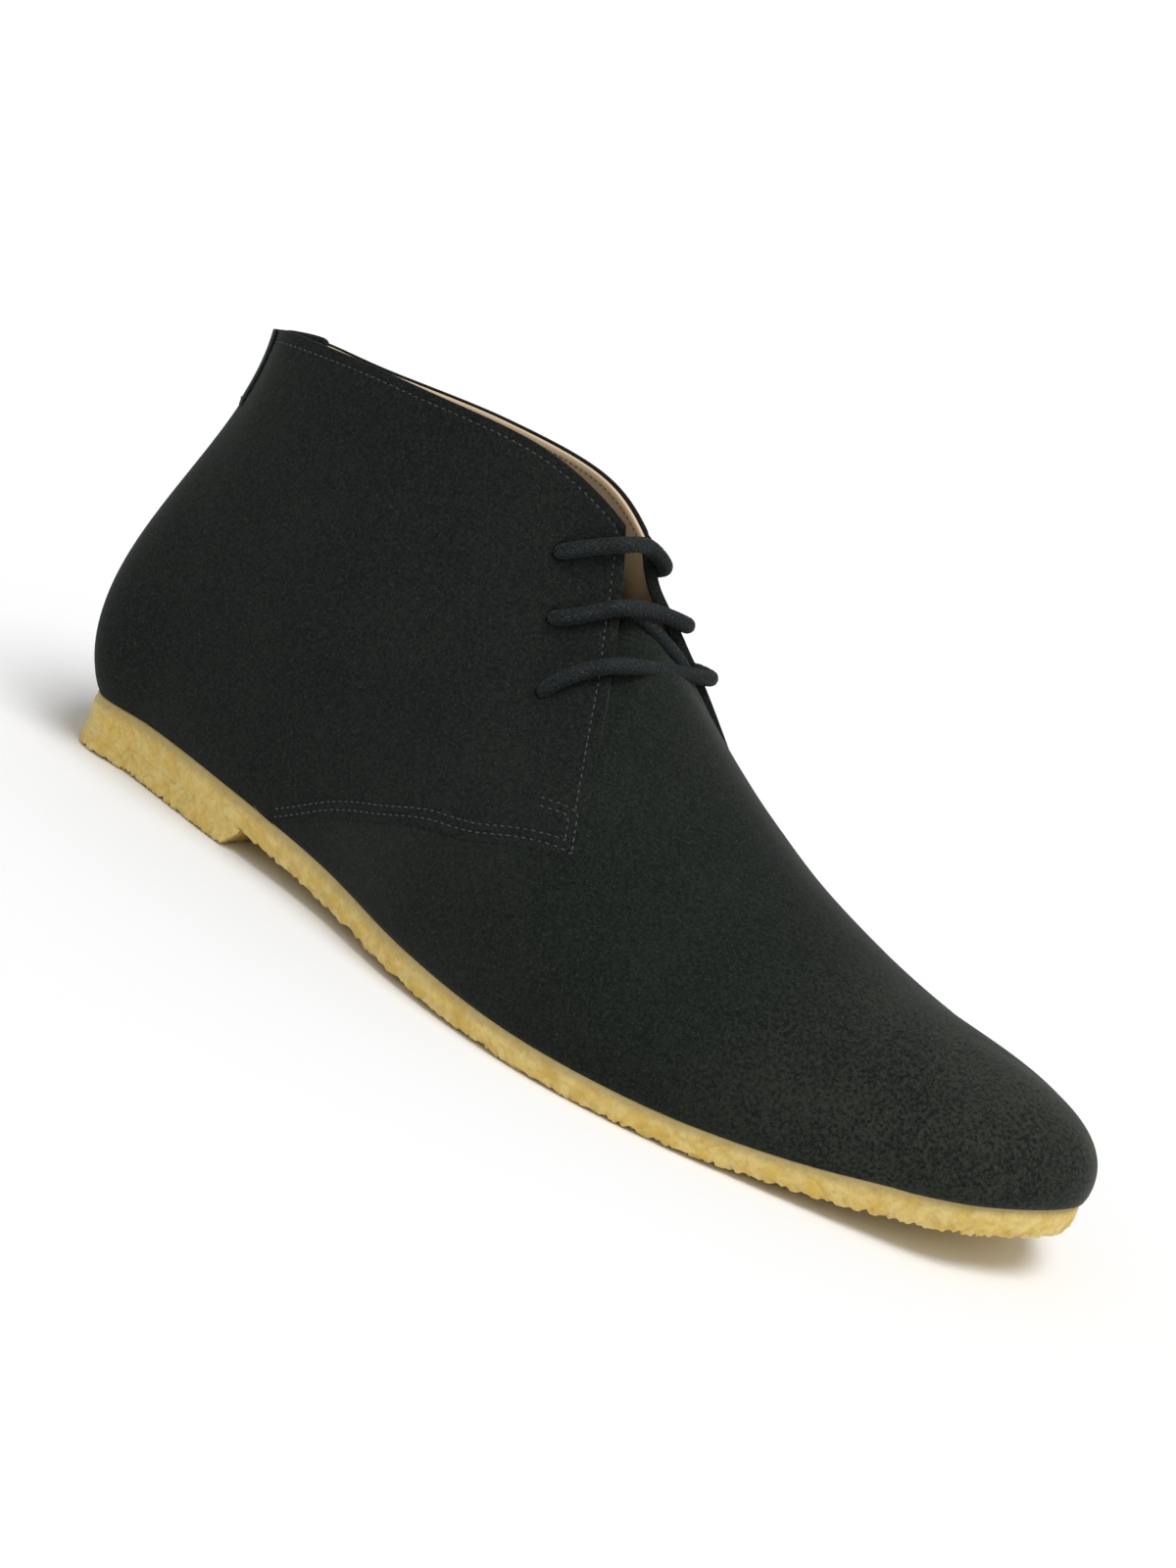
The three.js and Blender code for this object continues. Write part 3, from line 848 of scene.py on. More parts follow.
@dataclass
class CrepeSole:
    """The through-sole and its heel, with the ragged lumps of raw crepe."""

    stations: int = 430
    heel_stations: int = 210
    side_rows: int = 13
    heel_rows: int = 8
    across: int = 96
    lid_columns: int = 5
    lump_size: float = 3.4
    fine_lumps: float = 0.42
    coarse_steepness: float = 5
    fine_steepness: float = 4
    coarse_share: float = 0.65
    lump_depth: float = 0.75
    side_depth: float = 0.42
    depth_growth: float = 2.2
    top_depth: float = 0.12
    rim_rounding: float = 0.7
    rounded_share: float = 0.16
    heel_rounded_share: float = 0.2
    swelling: float = 0.5
    notch_depth: float = 1.5
    notch_share: float = 0.3
    toe_tuck: float = 1.2
    toe_tuck_x: float = 258
    toe_tuck_run: float = 30
    seam_at: float = 0.86
    seam_depth: float = 0.16
    seam_width: float = 0.05
    breast_foot_x: float = 65.5
    breast_tone: float = 0.1
    bare_margin: float = 4
    bare_run: float = 5
    heel_flare: float = 0.8
    heel_gap: float = 0.05
    heel_bunching: float = 0.9
    heel_lap: float = 0.1
    lap_start: float = 0.8
    lap_run: float = 0.2
    heel_hidden: float = 0.4
    lapping_levels: tuple[float, ...] = (1.14, 1.07, 1)
    heel_tone: float = 0.3

    def _lumps(self, points: Array) -> Array:
        """How full the crepe is at each point: 1 on a lump, 0 in a crease."""
        flat = points.reshape(-1, 3)
        full = np.empty(len(flat))
        for i, point in enumerate(flat.tolist()):
            place = Vector(point)
            coarse = abs(noise.noise(place / self.lump_size))
            fine = abs(noise.noise(place / (self.lump_size * self.fine_lumps)))
            coarse, fine = min(coarse * self.coarse_steepness, 1), min(fine * self.fine_steepness, 1)
            full[i] = coarse * self.coarse_share + fine * (1 - self.coarse_share)
        return full.reshape(points.shape[:-1])

    def _roughened(self, points: Array, outward: Array, depth: Array | float) -> tuple[Array, Array]:
        """Moves points inwards where the crepe has a crease.

        Args:
            points: The smooth surface.
            outward: Its outward directions.
            depth: The deepest crease at each point.

        Returns:
            The rough points, and how full the crepe is at each.
        """
        full = self._lumps(points)
        return points - outward * ((1 - full) * depth)[..., None], full

    def _rounding(self, share: Array | float, reach: float) -> Array:
        """How far the lowest share of a side is rounded inwards."""
        return self.rim_rounding * np.clip(1 - share / reach, 0, 1) ** 2

    def _notch(self, full: Array, share: Array) -> Array:
        """How far the gaps between lumps reach up from the lower edge."""
        return self.notch_depth * (1 - full) * np.clip(1 - share / self.notch_share, 0, 1)

    @staticmethod
    def _across(left: Array, right: Array, columns: int) -> Array:
        """Straight rows of points from the lateral edge to the medial one."""
        share = np.linspace(0, 1, columns)[None, :, None]
        return left[:, None] * (1 - share) + right[:, None] * share

    def _side(self, side: Side, k: Array, rise: Array) -> tuple[Array, Array]:
        """The through-sole's side, with rows at the shares rise of its height."""
        station, share = np.meshgrid(k, rise, indexing="ij")
        x = LAST.outline(side, station)[..., 0]
        bare = eased((x - LAST.breast_top_x + self.bare_margin) / self.bare_run)
        full = np.where(share < 0.5, 1 - (1 - np.sin(np.pi * share)) * bare, np.sin(np.pi * share))
        swell = self.swelling * full - self.toe_tuck * eased((x - self.toe_tuck_x) / self.toe_tuck_run)
        swell -= self.seam_depth * np.exp(-(((share - self.seam_at) / self.seam_width) ** 2))
        swell -= self._rounding(share, self.rounded_share) * bare
        rim = LAST.on_edge(side, station, swell)
        x = rim[..., 0]
        rim[..., 2] = LAST.sole_under(x) * (1 - share) + LAST.sole_top(x) * share
        depth = self.side_depth * np.clip((1 - share) * self.depth_growth + self.top_depth, 0, 1)
        rough, full = self._roughened(rim, LAST.outward(side, station), depth)
        rough[..., 2] += self._notch(full, share) * bare
        return rough, full

    def _heel_side(self, side: Side, levels: Array) -> tuple[Array, Array]:
        """The heel's side, with rows at levels: 0 on the floor, 1 at the through-sole."""
        top_z = LAST.waist_clearance - self.heel_gap
        rows = []
        for level in levels:
            breast = self.breast_foot_x + (LAST.breast_top_x - self.breast_foot_x) * min(level, 1)
            spread = np.linspace(0, 1, self.heel_stations) ** self.heel_bunching
            k = self._station_at(side, breast) * spread
            lapping = self.heel_lap * eased((level - self.lap_start) / self.lap_run)
            lapping -= self.heel_hidden * (level == self.lapping_levels[0])
            proud = np.full(k.shape, self.swelling + self.heel_flare * (1 - level) + lapping)
            proud -= self._rounding(level, self.heel_rounded_share)
            rows.append(LAST.on_edge(side, k, proud, np.full(k.shape, top_z * level)))
        rough, full = self._roughened(np.stack(rows, 1), LAST.outward(side, k)[:, None], self.side_depth)
        rough[..., 2] += self._notch(full, levels)
        return rough, full

    @staticmethod
    def _station_at(side: Side, x: float) -> float:
        """The station where the outline passes x."""
        k = np.linspace(1, STATIONS - 1, 2000)
        return float(np.interp(x, LAST.outline(side, k)[:, 0], k))

    def _tread(self, edges: list[Array], under: Callable) -> tuple[Array, Array]:
        """The underside between two sides, level but for its lumps.

        Args:
            edges: The lateral and the medial side.
            under: The underside's height at x.

        Returns:
            Its points, and how full the crepe is at each.
        """
        tread = self._across(*(edge[:, -1] for edge in edges), self.across)
        share = np.linspace(0, 1, self.across)
        inside = np.clip(np.minimum(share, 1 - share) * self.across / 3, 0, 1)
        level = under(tread[..., 0])
        tread[..., 2] = level + (tread[..., 2] - level) * (1 - inside)
        return self._roughened(tread, DOWN, self.lump_depth * inside)

    def _block(self, sides: list, rise: Array, tread: Array, full: Array, lid_columns: int) -> Draft:
        """The sides, tread and lid of a block of crepe.

        Args:
            sides: The lateral and the medial side, each with how full its crepe is.
            rise: How high each row of the sides lies, which gives its colour.
            tread: The underside.
            full: How full the crepe is there.
            lid_columns: How many points the lid has across.

        Returns:
            A draft with these faces.
        """
        draft = Draft()
        for side, (edge, fullness) in zip(Side, sides):
            draft.skin(draft.grid(edge, rise=rise, lump=fullness), side is Side.MEDIAL)
        draft.skin(draft.grid(tread, rise=0, lump=full))
        lid = self._across(*(edge[:, 0] for edge, _ in sides), lid_columns)
        draft.skin(draft.grid(lid, rise=rise[0], lump=1), flipped=True)
        return draft

    def outsole(self) -> bpy.types.Object:
        """The through-sole, with stations closer together at its ends."""
        t = np.linspace(0, 1, self.stations)
        ends = (1 - np.cos(np.pi * t)) / 2
        k = STATIONS * (0.75 * t + 0.25 * ends)
        rise = np.linspace(1, 0, self.side_rows)
        sides = [self._side(side, k, rise) for side in Side]
        tread, full = self._tread([edge for edge, _ in sides], LAST.sole_under)
        return self._block(sides, rise, tread, full, self.lid_columns).build("crepe_outsole", closed=True)

    def heel(self) -> bpy.types.Object:
        """The heel, which laps over the through-sole's lower edge and has a sloped breast."""
        levels = np.concatenate([self.lapping_levels, np.linspace(0.9, 0, self.heel_rows)])
        sides = [self._heel_side(side, levels) for side in Side]
        edges = [edge for edge, _ in sides]
        tread, full = self._tread(edges, np.zeros_like)
        draft = self._block(sides, levels * self.heel_tone, tread, full, self.across)
        breast = self._across(*(edge[-1] for edge in edges), self.across)
        breast[-1] = tread[-1]
        inner = np.zeros(breast.shape[:2])
        inner[1:-1, 1:-1] = 1
        breast, full = self._roughened(breast, AHEAD, self.side_depth * inner)
        draft.skin(draft.grid(breast, rise=self.breast_tone, lump=full))
        return draft.build("crepe_heel", closed=True)


@dataclass
class Sock:
    """The leather sock that covers the insole."""

    inset: float = 2.9
    thickness: float = 2.6
    clearance: float = 0.1
    dish: float = 1.1
    dish_run: float = 6
    dish_floor: float = 0.2
    stations: int = 140
    columns: int = 33

    def build(self) -> bpy.types.Object:
        """The sock, a slab with a softly dished top."""
        k = np.linspace(0, STATIONS, self.stations)
        station, share = np.meshgrid(k, np.linspace(0, 1, self.columns), indexing="ij")
        proud = np.full(station.shape, -self.inset)
        left = LAST.on_edge(Side.LATERAL, station, proud)
        right = LAST.on_edge(Side.MEDIAL, station, proud)
        top = left * (1 - share[..., None]) + right * share[..., None]
        width = np.linalg.norm(left - right, axis=-1)
        from_edge = np.minimum(share, 1 - share) * width
        under = top.copy()
        under[..., 2] = LAST.sole_top(top[..., 0]) + self.clearance
        top[..., 2] = LAST.sole_top(top[..., 0]) + self.thickness
        top[..., 2] += self.dish * (np.exp(-from_edge / self.dish_run) - self.dish_floor)
        draft = Draft()
        upper, lower = draft.grid(top), draft.grid(under)
        draft.skin(upper)
        draft.skin(lower, flipped=True)
        draft.wall(upper[:, 0], lower[:, 0])
        draft.wall(upper[:, -1], lower[:, -1], flipped=True)
        return draft.build("sock", closed=True)


# ---- vamp, tongue and linings ----------------------------------------------------------------------


@dataclass
class Vamp:
    """Vamp and tongue in one piece, and the lining behind them.

    A full-width front runs from the toe to where the quarters take over. From there two wings run back
    under the quarters, and the tongue runs up between them.
    """

    slit_at: float = 6.25
    slit_up: float = 0.52
    wing_start: float = 3.3
    sink_start: float = 7.7
    sink_run: float = 1.25
    sink_foot: float = 0.54
    sink_rise: float = 0.34
    tongue_top_x: float = 134
    tongue_spare: float = 1.5
    tongue_corner: float = 3.5
    tongue_dip: float = 0.4
    tongue_blend: float = 0.45
    throat_limit: float = 1.4
    tongue_rows: int = 34
    wing_rows: int = 44
    front_rows: int = 130
    toe_bunching: float = 0.2
    rise_rows: int = 58
    margin: float = 4
    margin_lift: float = 0.06
    thickness: float = 1.1
    lining_thickness: float = 0.8
    lining_gap: float = 0.05
    # Painted highlight on the toe: where it starts and how far it takes to grow.
    toe_highlight_x: float = 200
    toe_highlight_run: float = 65

    @cached_property
    def _ups(self) -> Array:
        """Shares of the section's height, with the slit's among them."""
        below = np.linspace(0, self.slit_up, round(self.rise_rows * self.slit_up))
        above = np.linspace(self.slit_up, 1, self.rise_rows - len(below) + 1)[1:]
        return np.concatenate([below, above])

    def _sunk(self, points: Array, station: Array, up: Array) -> Array:
        """Lowers the last's surface into the open throat."""
        x = points[..., 0]
        aside = np.abs(points[..., 1] - throat_middle(x)) / THROAT.read("half", x, "x")
        aside = np.minimum(aside, self.throat_limit)
        floor = THROAT.read("z", x, "x") - THROAT.read("drop", x, "x") * aside**2
        share = eased((self.sink_start - station) / self.sink_run)
        share = share * eased((up - self.sink_foot) / self.sink_rise)
        lowered = points.copy()
        lowered[..., 2] -= share * np.maximum(points[..., 2] - floor, 0)
        return lowered

    def _rise(self, side: Side, station: Array, ups: Array, offset: float) -> Array:
        """Points of one side from the sole up, for stations in rows and ups in rows or one row."""
        k, up = np.broadcast_arrays(station[:, None], np.atleast_2d(ups))
        return self._sunk(LAST.off(side, k, up, np.full(k.shape, offset)), k, up)

    def _turned(self, side: Side, station: Array) -> Array:
        """The lasting margin, turned in under the foot of the upper."""
        edge = LAST.on_edge(side, station, np.full(station.shape, -LAST.feather_inset - self.margin))
        edge[:, 2] += self.margin_lift
        return edge[:, None, :]

    def _both(self, station: Array, ups: Array, offset: float) -> Array:
        """Rows right across, from the lateral foot over the ridge to the medial foot."""
        lateral = self._rise(Side.LATERAL, station, ups, offset)
        medial = self._rise(Side.MEDIAL, station, ups, offset)
        return np.concatenate([lateral, medial[:, -2::-1]], 1)

    def front(self, offset: float) -> Array:
        """The full-width front, from the slit to the toe."""
        t = np.linspace(0, 1, self.front_rows)
        t = (1 - self.toe_bunching) * t + self.toe_bunching * np.sin(np.pi * t / 2)
        station = self.slit_at + (STATIONS - self.slit_at) * t
        rows = self._both(station, self._ups, offset)
        margins = [self._turned(side, station) for side in Side]
        return np.concatenate([margins[0], rows, margins[1]], 1)

    def wing(self, side: Side, offset: float) -> Array:
        """One wing, from under the quarter forward to the slit, lateral foot first."""
        station = np.linspace(self.wing_start, self.slit_at, self.wing_rows)
        below = self._ups[self._ups <= self.slit_up]
        spare = self.slit_up - QUARTER_LOWER_EDGE.read("up", self.slit_at)
        reach = np.maximum(QUARTER_LOWER_EDGE.read("up", station), 0) + spare
        rows = self._rise(side, station, below[None, :] / self.slit_up * reach[:, None], offset)
        rows = np.concatenate([self._turned(side, station), rows], 1)
        return rows if side is Side.LATERAL else rows[:, ::-1]

    def tongue(self, offset: float) -> Array:
        """The tongue, from its top edge down to the slit."""
        above = self._ups[self._ups >= self.slit_up]
        start = self._both(np.array([self.slit_at]), above, offset)[0]
        s = np.concatenate([(above - 1), (1 - above)[-2::-1]]) / (1 - self.slit_up)
        q = np.linspace(1, 0, self.tongue_rows)[:, None]
        ridge_x = start[len(above) - 1, 0]
        x = ridge_x + (self.tongue_top_x - ridge_x) * q + self.tongue_corner * s**4 * q
        half = THROAT.read("half", x, "x") + self.tongue_spare
        z = THROAT.read("z", x, "x") - THROAT.read("drop", x, "x") * s**2 + offset
        y = throat_middle(x) + s * half
        free = np.stack(np.broadcast_arrays(x, y, z), -1)
        run = (self.tongue_top_x - ridge_x) * q
        from_slit = start + np.array([1, 0, -self.tongue_dip]) * run[..., None]
        share = eased(q / self.tongue_blend)[..., None]
        return from_slit * (1 - share) + free * share

    def leather(self) -> bpy.types.Object:
        """The vamp with its tongue."""
        draft = Draft()
        for patch in (self.front(0), self.tongue(0), *(self.wing(side, 0) for side in Side)):
            # Painted highlight, growing towards the toe, where light falls on its top.
            brushed = eased((patch[..., 0] - self.toe_highlight_x) / self.toe_highlight_run)
            draft.skin(draft.grid(patch, brushed=brushed), flipped=True)
        return thickened(draft.build("vamp_and_tongue", closed=False), self.thickness)

    def lining(self) -> bpy.types.Object:
        """The vamp's lining, which backs the tongue too."""
        offset = -self.thickness - self.lining_gap
        draft = Draft()
        draft.skin(draft.grid(self.front(offset)[:, 1:-1]), flipped=True)
        draft.skin(draft.grid(self.tongue(offset)), flipped=True)
        return thickened(draft.build("vamp_lining", closed=False), self.lining_thickness)


class Edge(Enum):
    """A quarter's edges, each by a small step away from it: forward and upward."""

    FRONT = (-0.01, 0)
    LOW = (0, 0.01)
    TOP = (0, -0.01)


@dataclass
class Quarter:
    """One quarter with its lining: a cut panel from the heel seam to the facing, over the vamp."""

    side: Side
    face: float = 1.6
    flesh: float = 0.4
    seated: float = 0.05
    facing_depth: float = 2.1
    facing_width: float = 3.2
    facing_low: float = 0.5
    facing_fade: float = 0.1
    rows: int = 46
    columns: int = 84
    samples: int = 200
    seam_samples: int = 160
    back_seam: float = 0.0015
    back_seam_depth: float = 0.5
    back_seam_width: float = 1 / 44
    rounding: float = 0.32
    round_steps: tuple[tuple[float, float], ...] = ((0.42, 0.1), (0.8, 0.42), (1, 1))
    inner_rim: float = 0.12
    lap_start: float = 3.2
    lap_run: float = 0.5
    lap_top: float = 0.62
    lap_fade: float = 0.1
    skive: float = 0.35
    skive_run: float = 3
    foot_skive: float = 0.7
    foot_skive_run: float = 4
    groove_depth: float = 0.22
    groove_width: float = 0.75
    edge_row: float = 2.9
    lower_rows: tuple[float, float] = (2.1, 4.2)
    tack_height: float = 13
    tack_depth: float = 12
    first_row_station: float = 3.4
    first_lapped: float = 3.5
    thread_proud: float = 0.02
    hole_radius: float = 2.05
    punch_length: float = 16
    fine: tuple[float, ...] = (0, 0.3, 0.7, 1.1, 1.5, 1.9, 2.3, 2.6, 2.9, 3.2, 3.5, 3.9, 4.3, 4.7, 5.2, 6)
    lining_thickness: float = 0.85
    lining_edge: float = 0.33
    lining_fall: float = 1.35
    lining_fall_run: float = 16
    lining_front: float = 6.6
    lining_height: float = 90
    lining_length: float = 110
    lining_reach: tuple[float, float] = (0.004, 0.9985)
    lining_columns: int = 110
    lining_rows: int = 64
    # Painted shade on the lining: how far below the top line it starts, and how far it takes to grow.
    unshaded_share: float = 0.02
    deepening: float = 0.16

    def _low(self, station: Array) -> Array:
        """The lower edge's share of the section's height."""
        return np.maximum(QUARTER_LOWER_EDGE.read("up", station), 0)

    def on_last(self, forward: Array, upward: Array) -> tuple[Array, Array]:
        """Where a point of the quarter lies on the last.

        Args:
            forward: 0 at the heel seam, 1 at the facing.
            upward: 0 at the lower edge, 1 at the top line.

        Returns:
            The station and the share of the section's height.
        """
        up = upward
        station = forward * COLLAR_END
        for _ in range(14):
            station = forward * facing_at(self.side, up)
            low = self._low(station)
            up = low + (1 - low) * upward
        return station, up

    def _scale(self, forward: Array, upward: Array, edge: Edge) -> Array:
        """Millimetres of surface for each unit of forward, or of upward, on the way from an edge."""
        a = LAST.surface(self.side, *self.on_last(forward, upward))
        b = LAST.surface(self.side, *self.on_last(forward + edge.value[0], upward + edge.value[1]))
        return np.linalg.norm(b - a, axis=-1) / math.hypot(*edge.value)

    @cached_property
    def shares(self) -> tuple[Array, Array, Array, Array, Array]:
        """The quarter's grid: forward and upward shares, and distances to front, lower and top edges."""
        fine = np.array(self.fine)
        f_line = np.linspace(self.back_seam, 1, self.samples)
        u_line = np.linspace(0, 1, 2 * len(fine) + self.rows)
        per_top = self._scale(f_line, np.ones_like(f_line), Edge.TOP)
        per_low = self._scale(f_line, np.zeros_like(f_line), Edge.LOW)
        per_front = self._scale(np.ones_like(u_line), u_line, Edge.FRONT)
        front = 1 - fine[::-1, None] / per_front[None, :]
        t = np.linspace(0, 1, self.columns)[:-1, None]
        forward = np.concatenate([self.back_seam + (front[:1] - self.back_seam) * t, front], 0)
        across = len(fine)
        bottom = fine[None, :] / np.interp(forward[:, :across], f_line, per_low)
        top = 1 - fine[None, ::-1] / np.interp(forward[:, -across:], f_line, per_top)
        t = np.linspace(0, 1, self.rows + 2)[None, 1:-1]
        upward = np.concatenate([bottom, bottom[:, -1:] * (1 - t) + top[:, :1] * t, top], 1)
        to_front = (1 - forward) * np.interp(upward, u_line, per_front)
        to_low = upward * np.interp(forward, f_line, per_low)
        to_top = (1 - upward) * np.interp(forward, f_line, per_top)
        return forward, upward, to_front, to_low, to_top

    def _groove(self, distance: Array, at: float) -> Array:
        """How far a row of stitches draws the leather in."""
        return self.groove_depth * np.exp(-(((distance - at) / self.groove_width) ** 2))

    def _lapped(self, station: Array, up: Array) -> Array:
        """1 where the quarter lies on the vamp, 0 where it stands free."""
        return eased((station - self.lap_start) / self.lap_run) * eased((self.lap_top - up) / self.lap_fade)

    def _face(self, station: Array, up: Array, to_front: Array, to_low: Array, to_top: Array) -> Array:
        """Distance of the outer face from the last."""
        lapped = self._lapped(station, up)
        proud = np.full(station.shape, self.face)
        proud -= self.skive * lapped * np.exp(-np.minimum(to_low, to_front) / self.skive_run)
        proud -= self._groove(to_top, self.edge_row)
        proud -= self._groove(to_front, self.edge_row) * (1 - lapped)
        for row in self.lower_rows:
            proud -= self._groove(to_low, row) * eased((station - self.first_row_station) / 0.3)
        behind = 1 - eased((station - self.lap_start) / 0.4)
        proud -= self.foot_skive * np.exp(-to_low / self.foot_skive_run) * behind
        proud -= self.back_seam_depth * np.exp(-((station / self.back_seam_width) ** 2))
        return proud

    def leather(self) -> bpy.types.Object:
        """The outer panel."""
        forward, upward, to_front, to_low, to_top = self.shares
        station, up = self.on_last(forward, upward)
        normal = LAST.normal(self.side, station, up)
        base = LAST.surface(self.side, station, up)
        face = self._face(station, up, to_front, to_low, to_top)
        near = np.exp(-np.minimum(to_low, to_front) / self.skive_run) * self._lapped(station, up)
        flesh = self.flesh - (self.flesh - self.seated) * near
        stay = np.clip(1 - to_front / self.facing_width, 0, 1) ** 2
        stay *= eased((up - self.facing_low) / self.facing_fade)
        flesh -= self.facing_depth * stay
        outer = base + normal * face[..., None]
        inner = base + normal * flesh[..., None]
        draft = Draft()
        outer_index, inner_index = draft.grid(outer), draft.grid(inner)
        flipped = self.side is Side.MEDIAL
        draft.skin(outer_index, flipped)
        draft.skin(inner_index, not flipped)
        border = self._loop(outer_index)
        ring, out = outer.reshape(-1, 3)[border], normal.reshape(-1, 3)[border]
        depth = (face - flesh).ravel()[border]
        along = np.roll(ring, -1, 0) - np.roll(ring, 1, 0)
        away = unit(np.cross(along, out)) * -self.side.value
        r = self.rounding
        rings = [border]
        for reach, down in self.round_steps:
            rings.append(draft.grid(ring + away * (reach * r) - out * (down * r)))
        rings.append(draft.grid(ring + away * r - out * (depth - self.inner_rim)[:, None]))
        rings.append(self._loop(inner_index))
        for first, second in zip(rings, rings[1:]):
            draft.wall(np.append(first, first[0]), np.append(second, second[0]), flipped)
        return draft.build(f"quarter_{self.side.name.lower()}_leather", closed=True)

    @staticmethod
    def _loop(index: Array) -> Array:
        """The grid's border, once round."""
        return np.concatenate([index[:-1, 0], index[-1, :-1], index[:0:-1, -1], index[0, :0:-1]])

    def _lining_face(self, forward: Array, up: Array) -> Array:
        """Distance of the lining's outer face from the last: near the leather's edges it comes out."""
        edge = np.minimum((1 - up) * self.lining_height, (1 - forward) * self.lining_length)
        return self.lining_edge - self.lining_fall * eased(edge / self.lining_fall_run)

    def lining(self) -> bpy.types.Object:
        """The lining of the quarter, flush with its edges and down to the sole."""
        shares = (np.linspace(0, 1, count) for count in (self.lining_columns, self.lining_rows))
        forward, upward = np.meshgrid(*shares, indexing="ij")
        up = np.clip(upward, *self.lining_reach)
        station = np.minimum(forward * facing_at(self.side, up), self.lining_front)
        points = LAST.off(self.side, station, up, self._lining_face(forward, up))
        draft = Draft()
        # Painted shade, darker down the lining away from the top line.
        deep = eased((1 - up - self.unshaded_share) / self.deepening)
        draft.skin(draft.grid(points, deep=deep), self.side is Side.MEDIAL)
        piece = draft.build(f"quarter_{self.side.name.lower()}_lining", closed=False)
        return thickened(piece, self.lining_thickness)

    def cutters(self) -> bpy.types.Object:
        """Three pins that punch the lace holes."""
        draft = bmesh.new()
        for at, up in zip(LACE_HOLES["at"], LACE_HOLES["up"]):
            centre = (LAST.surface(self.side, at, up) + Draft.origin) * MM
            turn = Vector(LAST.normal(self.side, np.array(at), np.array(up))).to_track_quat("Z", "Y")
            place = Matrix.Translation(Vector(centre)) @ turn.to_matrix().to_4x4()
            bmesh.ops.create_cone(
                draft,
                cap_ends=True,
                segments=24,
                radius1=self.hole_radius * MM,
                radius2=self.hole_radius * MM,
                depth=self.punch_length * MM,
                matrix=place,
            )
        mesh = bpy.data.meshes.new("lace_hole_pins")
        draft.to_mesh(mesh)
        draft.free()
        return placed("lace_hole_pins", mesh)

    def _seam(self, forward: Array, upward: Array) -> Seam:
        """A line of sewing on the outer face, by shares towards the facing and the top line."""
        station, up = self.on_last(forward, upward)
        to_front = (1 - forward) * self._scale(forward, upward, Edge.FRONT)
        to_low = upward * self._scale(forward, upward, Edge.LOW)
        to_top = (1 - upward) * self._scale(forward, upward, Edge.TOP)
        face = self._face(station, up, to_front, to_low, to_top)
        points = LAST.off(self.side, station, up, face + self.thread_proud)
        return Seam(points, LAST.normal(self.side, station, up))

    def _shares_at(self, to_front: Array, to_low: Array) -> tuple[Array, Array]:
        """The shares of points near the front corner, from their distances to front and lower edges."""
        to_front, to_low = np.broadcast_arrays(np.asarray(to_front, float), np.asarray(to_low, float))
        forward, upward = np.ones_like(to_front), np.zeros_like(to_low)
        for _ in range(4):
            forward = 1 - to_front / self._scale(forward, upward, Edge.FRONT)
            upward = to_low / self._scale(forward, upward, Edge.LOW)
        return forward, upward

    def edge_seam(self) -> Seam:
        """The row along the top line and down the facing, as far as the corner's own stitches."""
        f = np.linspace(0.02, 1, self.seam_samples)
        per_top = self._scale(f, np.ones_like(f), Edge.TOP)
        lowest = self._shares_at(self.edge_row, self.tack_height + 1)[1].item()
        u = np.linspace(1, lowest, 90)
        per_front = self._scale(np.ones_like(u), u, Edge.FRONT)
        front_f = 1 - self.edge_row / per_front
        top_u = 1 - self.edge_row / per_top
        keep_top = f < front_f[0]
        keep_front = u < np.interp(front_f[0], f, top_u)
        forward = np.concatenate([f[keep_top], front_f[keep_front]])
        upward = np.concatenate([top_u[keep_top], u[keep_front]])
        return self._seam(forward, upward)

    def lower_seam(self, inset: float) -> Seam:
        """A row along the lower edge, up the facing at the corner and back again above it."""
        f = np.linspace(0.5, 1, self.seam_samples)
        station, _ = self.on_last(f, np.zeros_like(f))
        per_low = self._scale(f, np.zeros_like(f), Edge.LOW)
        corner, _ = self._shares_at(inset, inset)
        keep = (station > self.first_lapped) & (f < corner)
        top = self.tack_height - inset + self.lower_rows[0]
        rise = self._shares_at(inset, np.linspace(inset, top, 16))
        back = self._shares_at(np.linspace(inset, self.tack_depth, 14)[1:], top)
        forward = np.concatenate([f[keep], rise[0], back[0]])
        upward = np.concatenate([inset / per_low[keep], rise[1], back[1]])
        return self._seam(forward, upward)

    def lining_seam(self) -> Seam:
        """The top line's row of stitches as it shows inside."""
        f = np.linspace(0.12, 0.97, self.seam_samples)
        upward = 1 - self.edge_row / self._scale(f, np.ones_like(f), Edge.TOP)
        station, up = self.on_last(f, upward)
        inner = self._lining_face(f, up) - self.lining_thickness
        return Seam(LAST.off(self.side, station, up, inner), -LAST.normal(self.side, station, up))


# ---- stitches ------------------------------------------------------------------------------------


STITCH = {"Pitch": 2.0 * MM, "Stitch_length": 1.3 * MM, "Thread_radius": 0.24 * MM, "Unevenness": 0.16}


@dataclass(frozen=True)
class Seam:
    """One line of sewing: its points and the directions out of the leather."""

    points: Array
    outward: Array


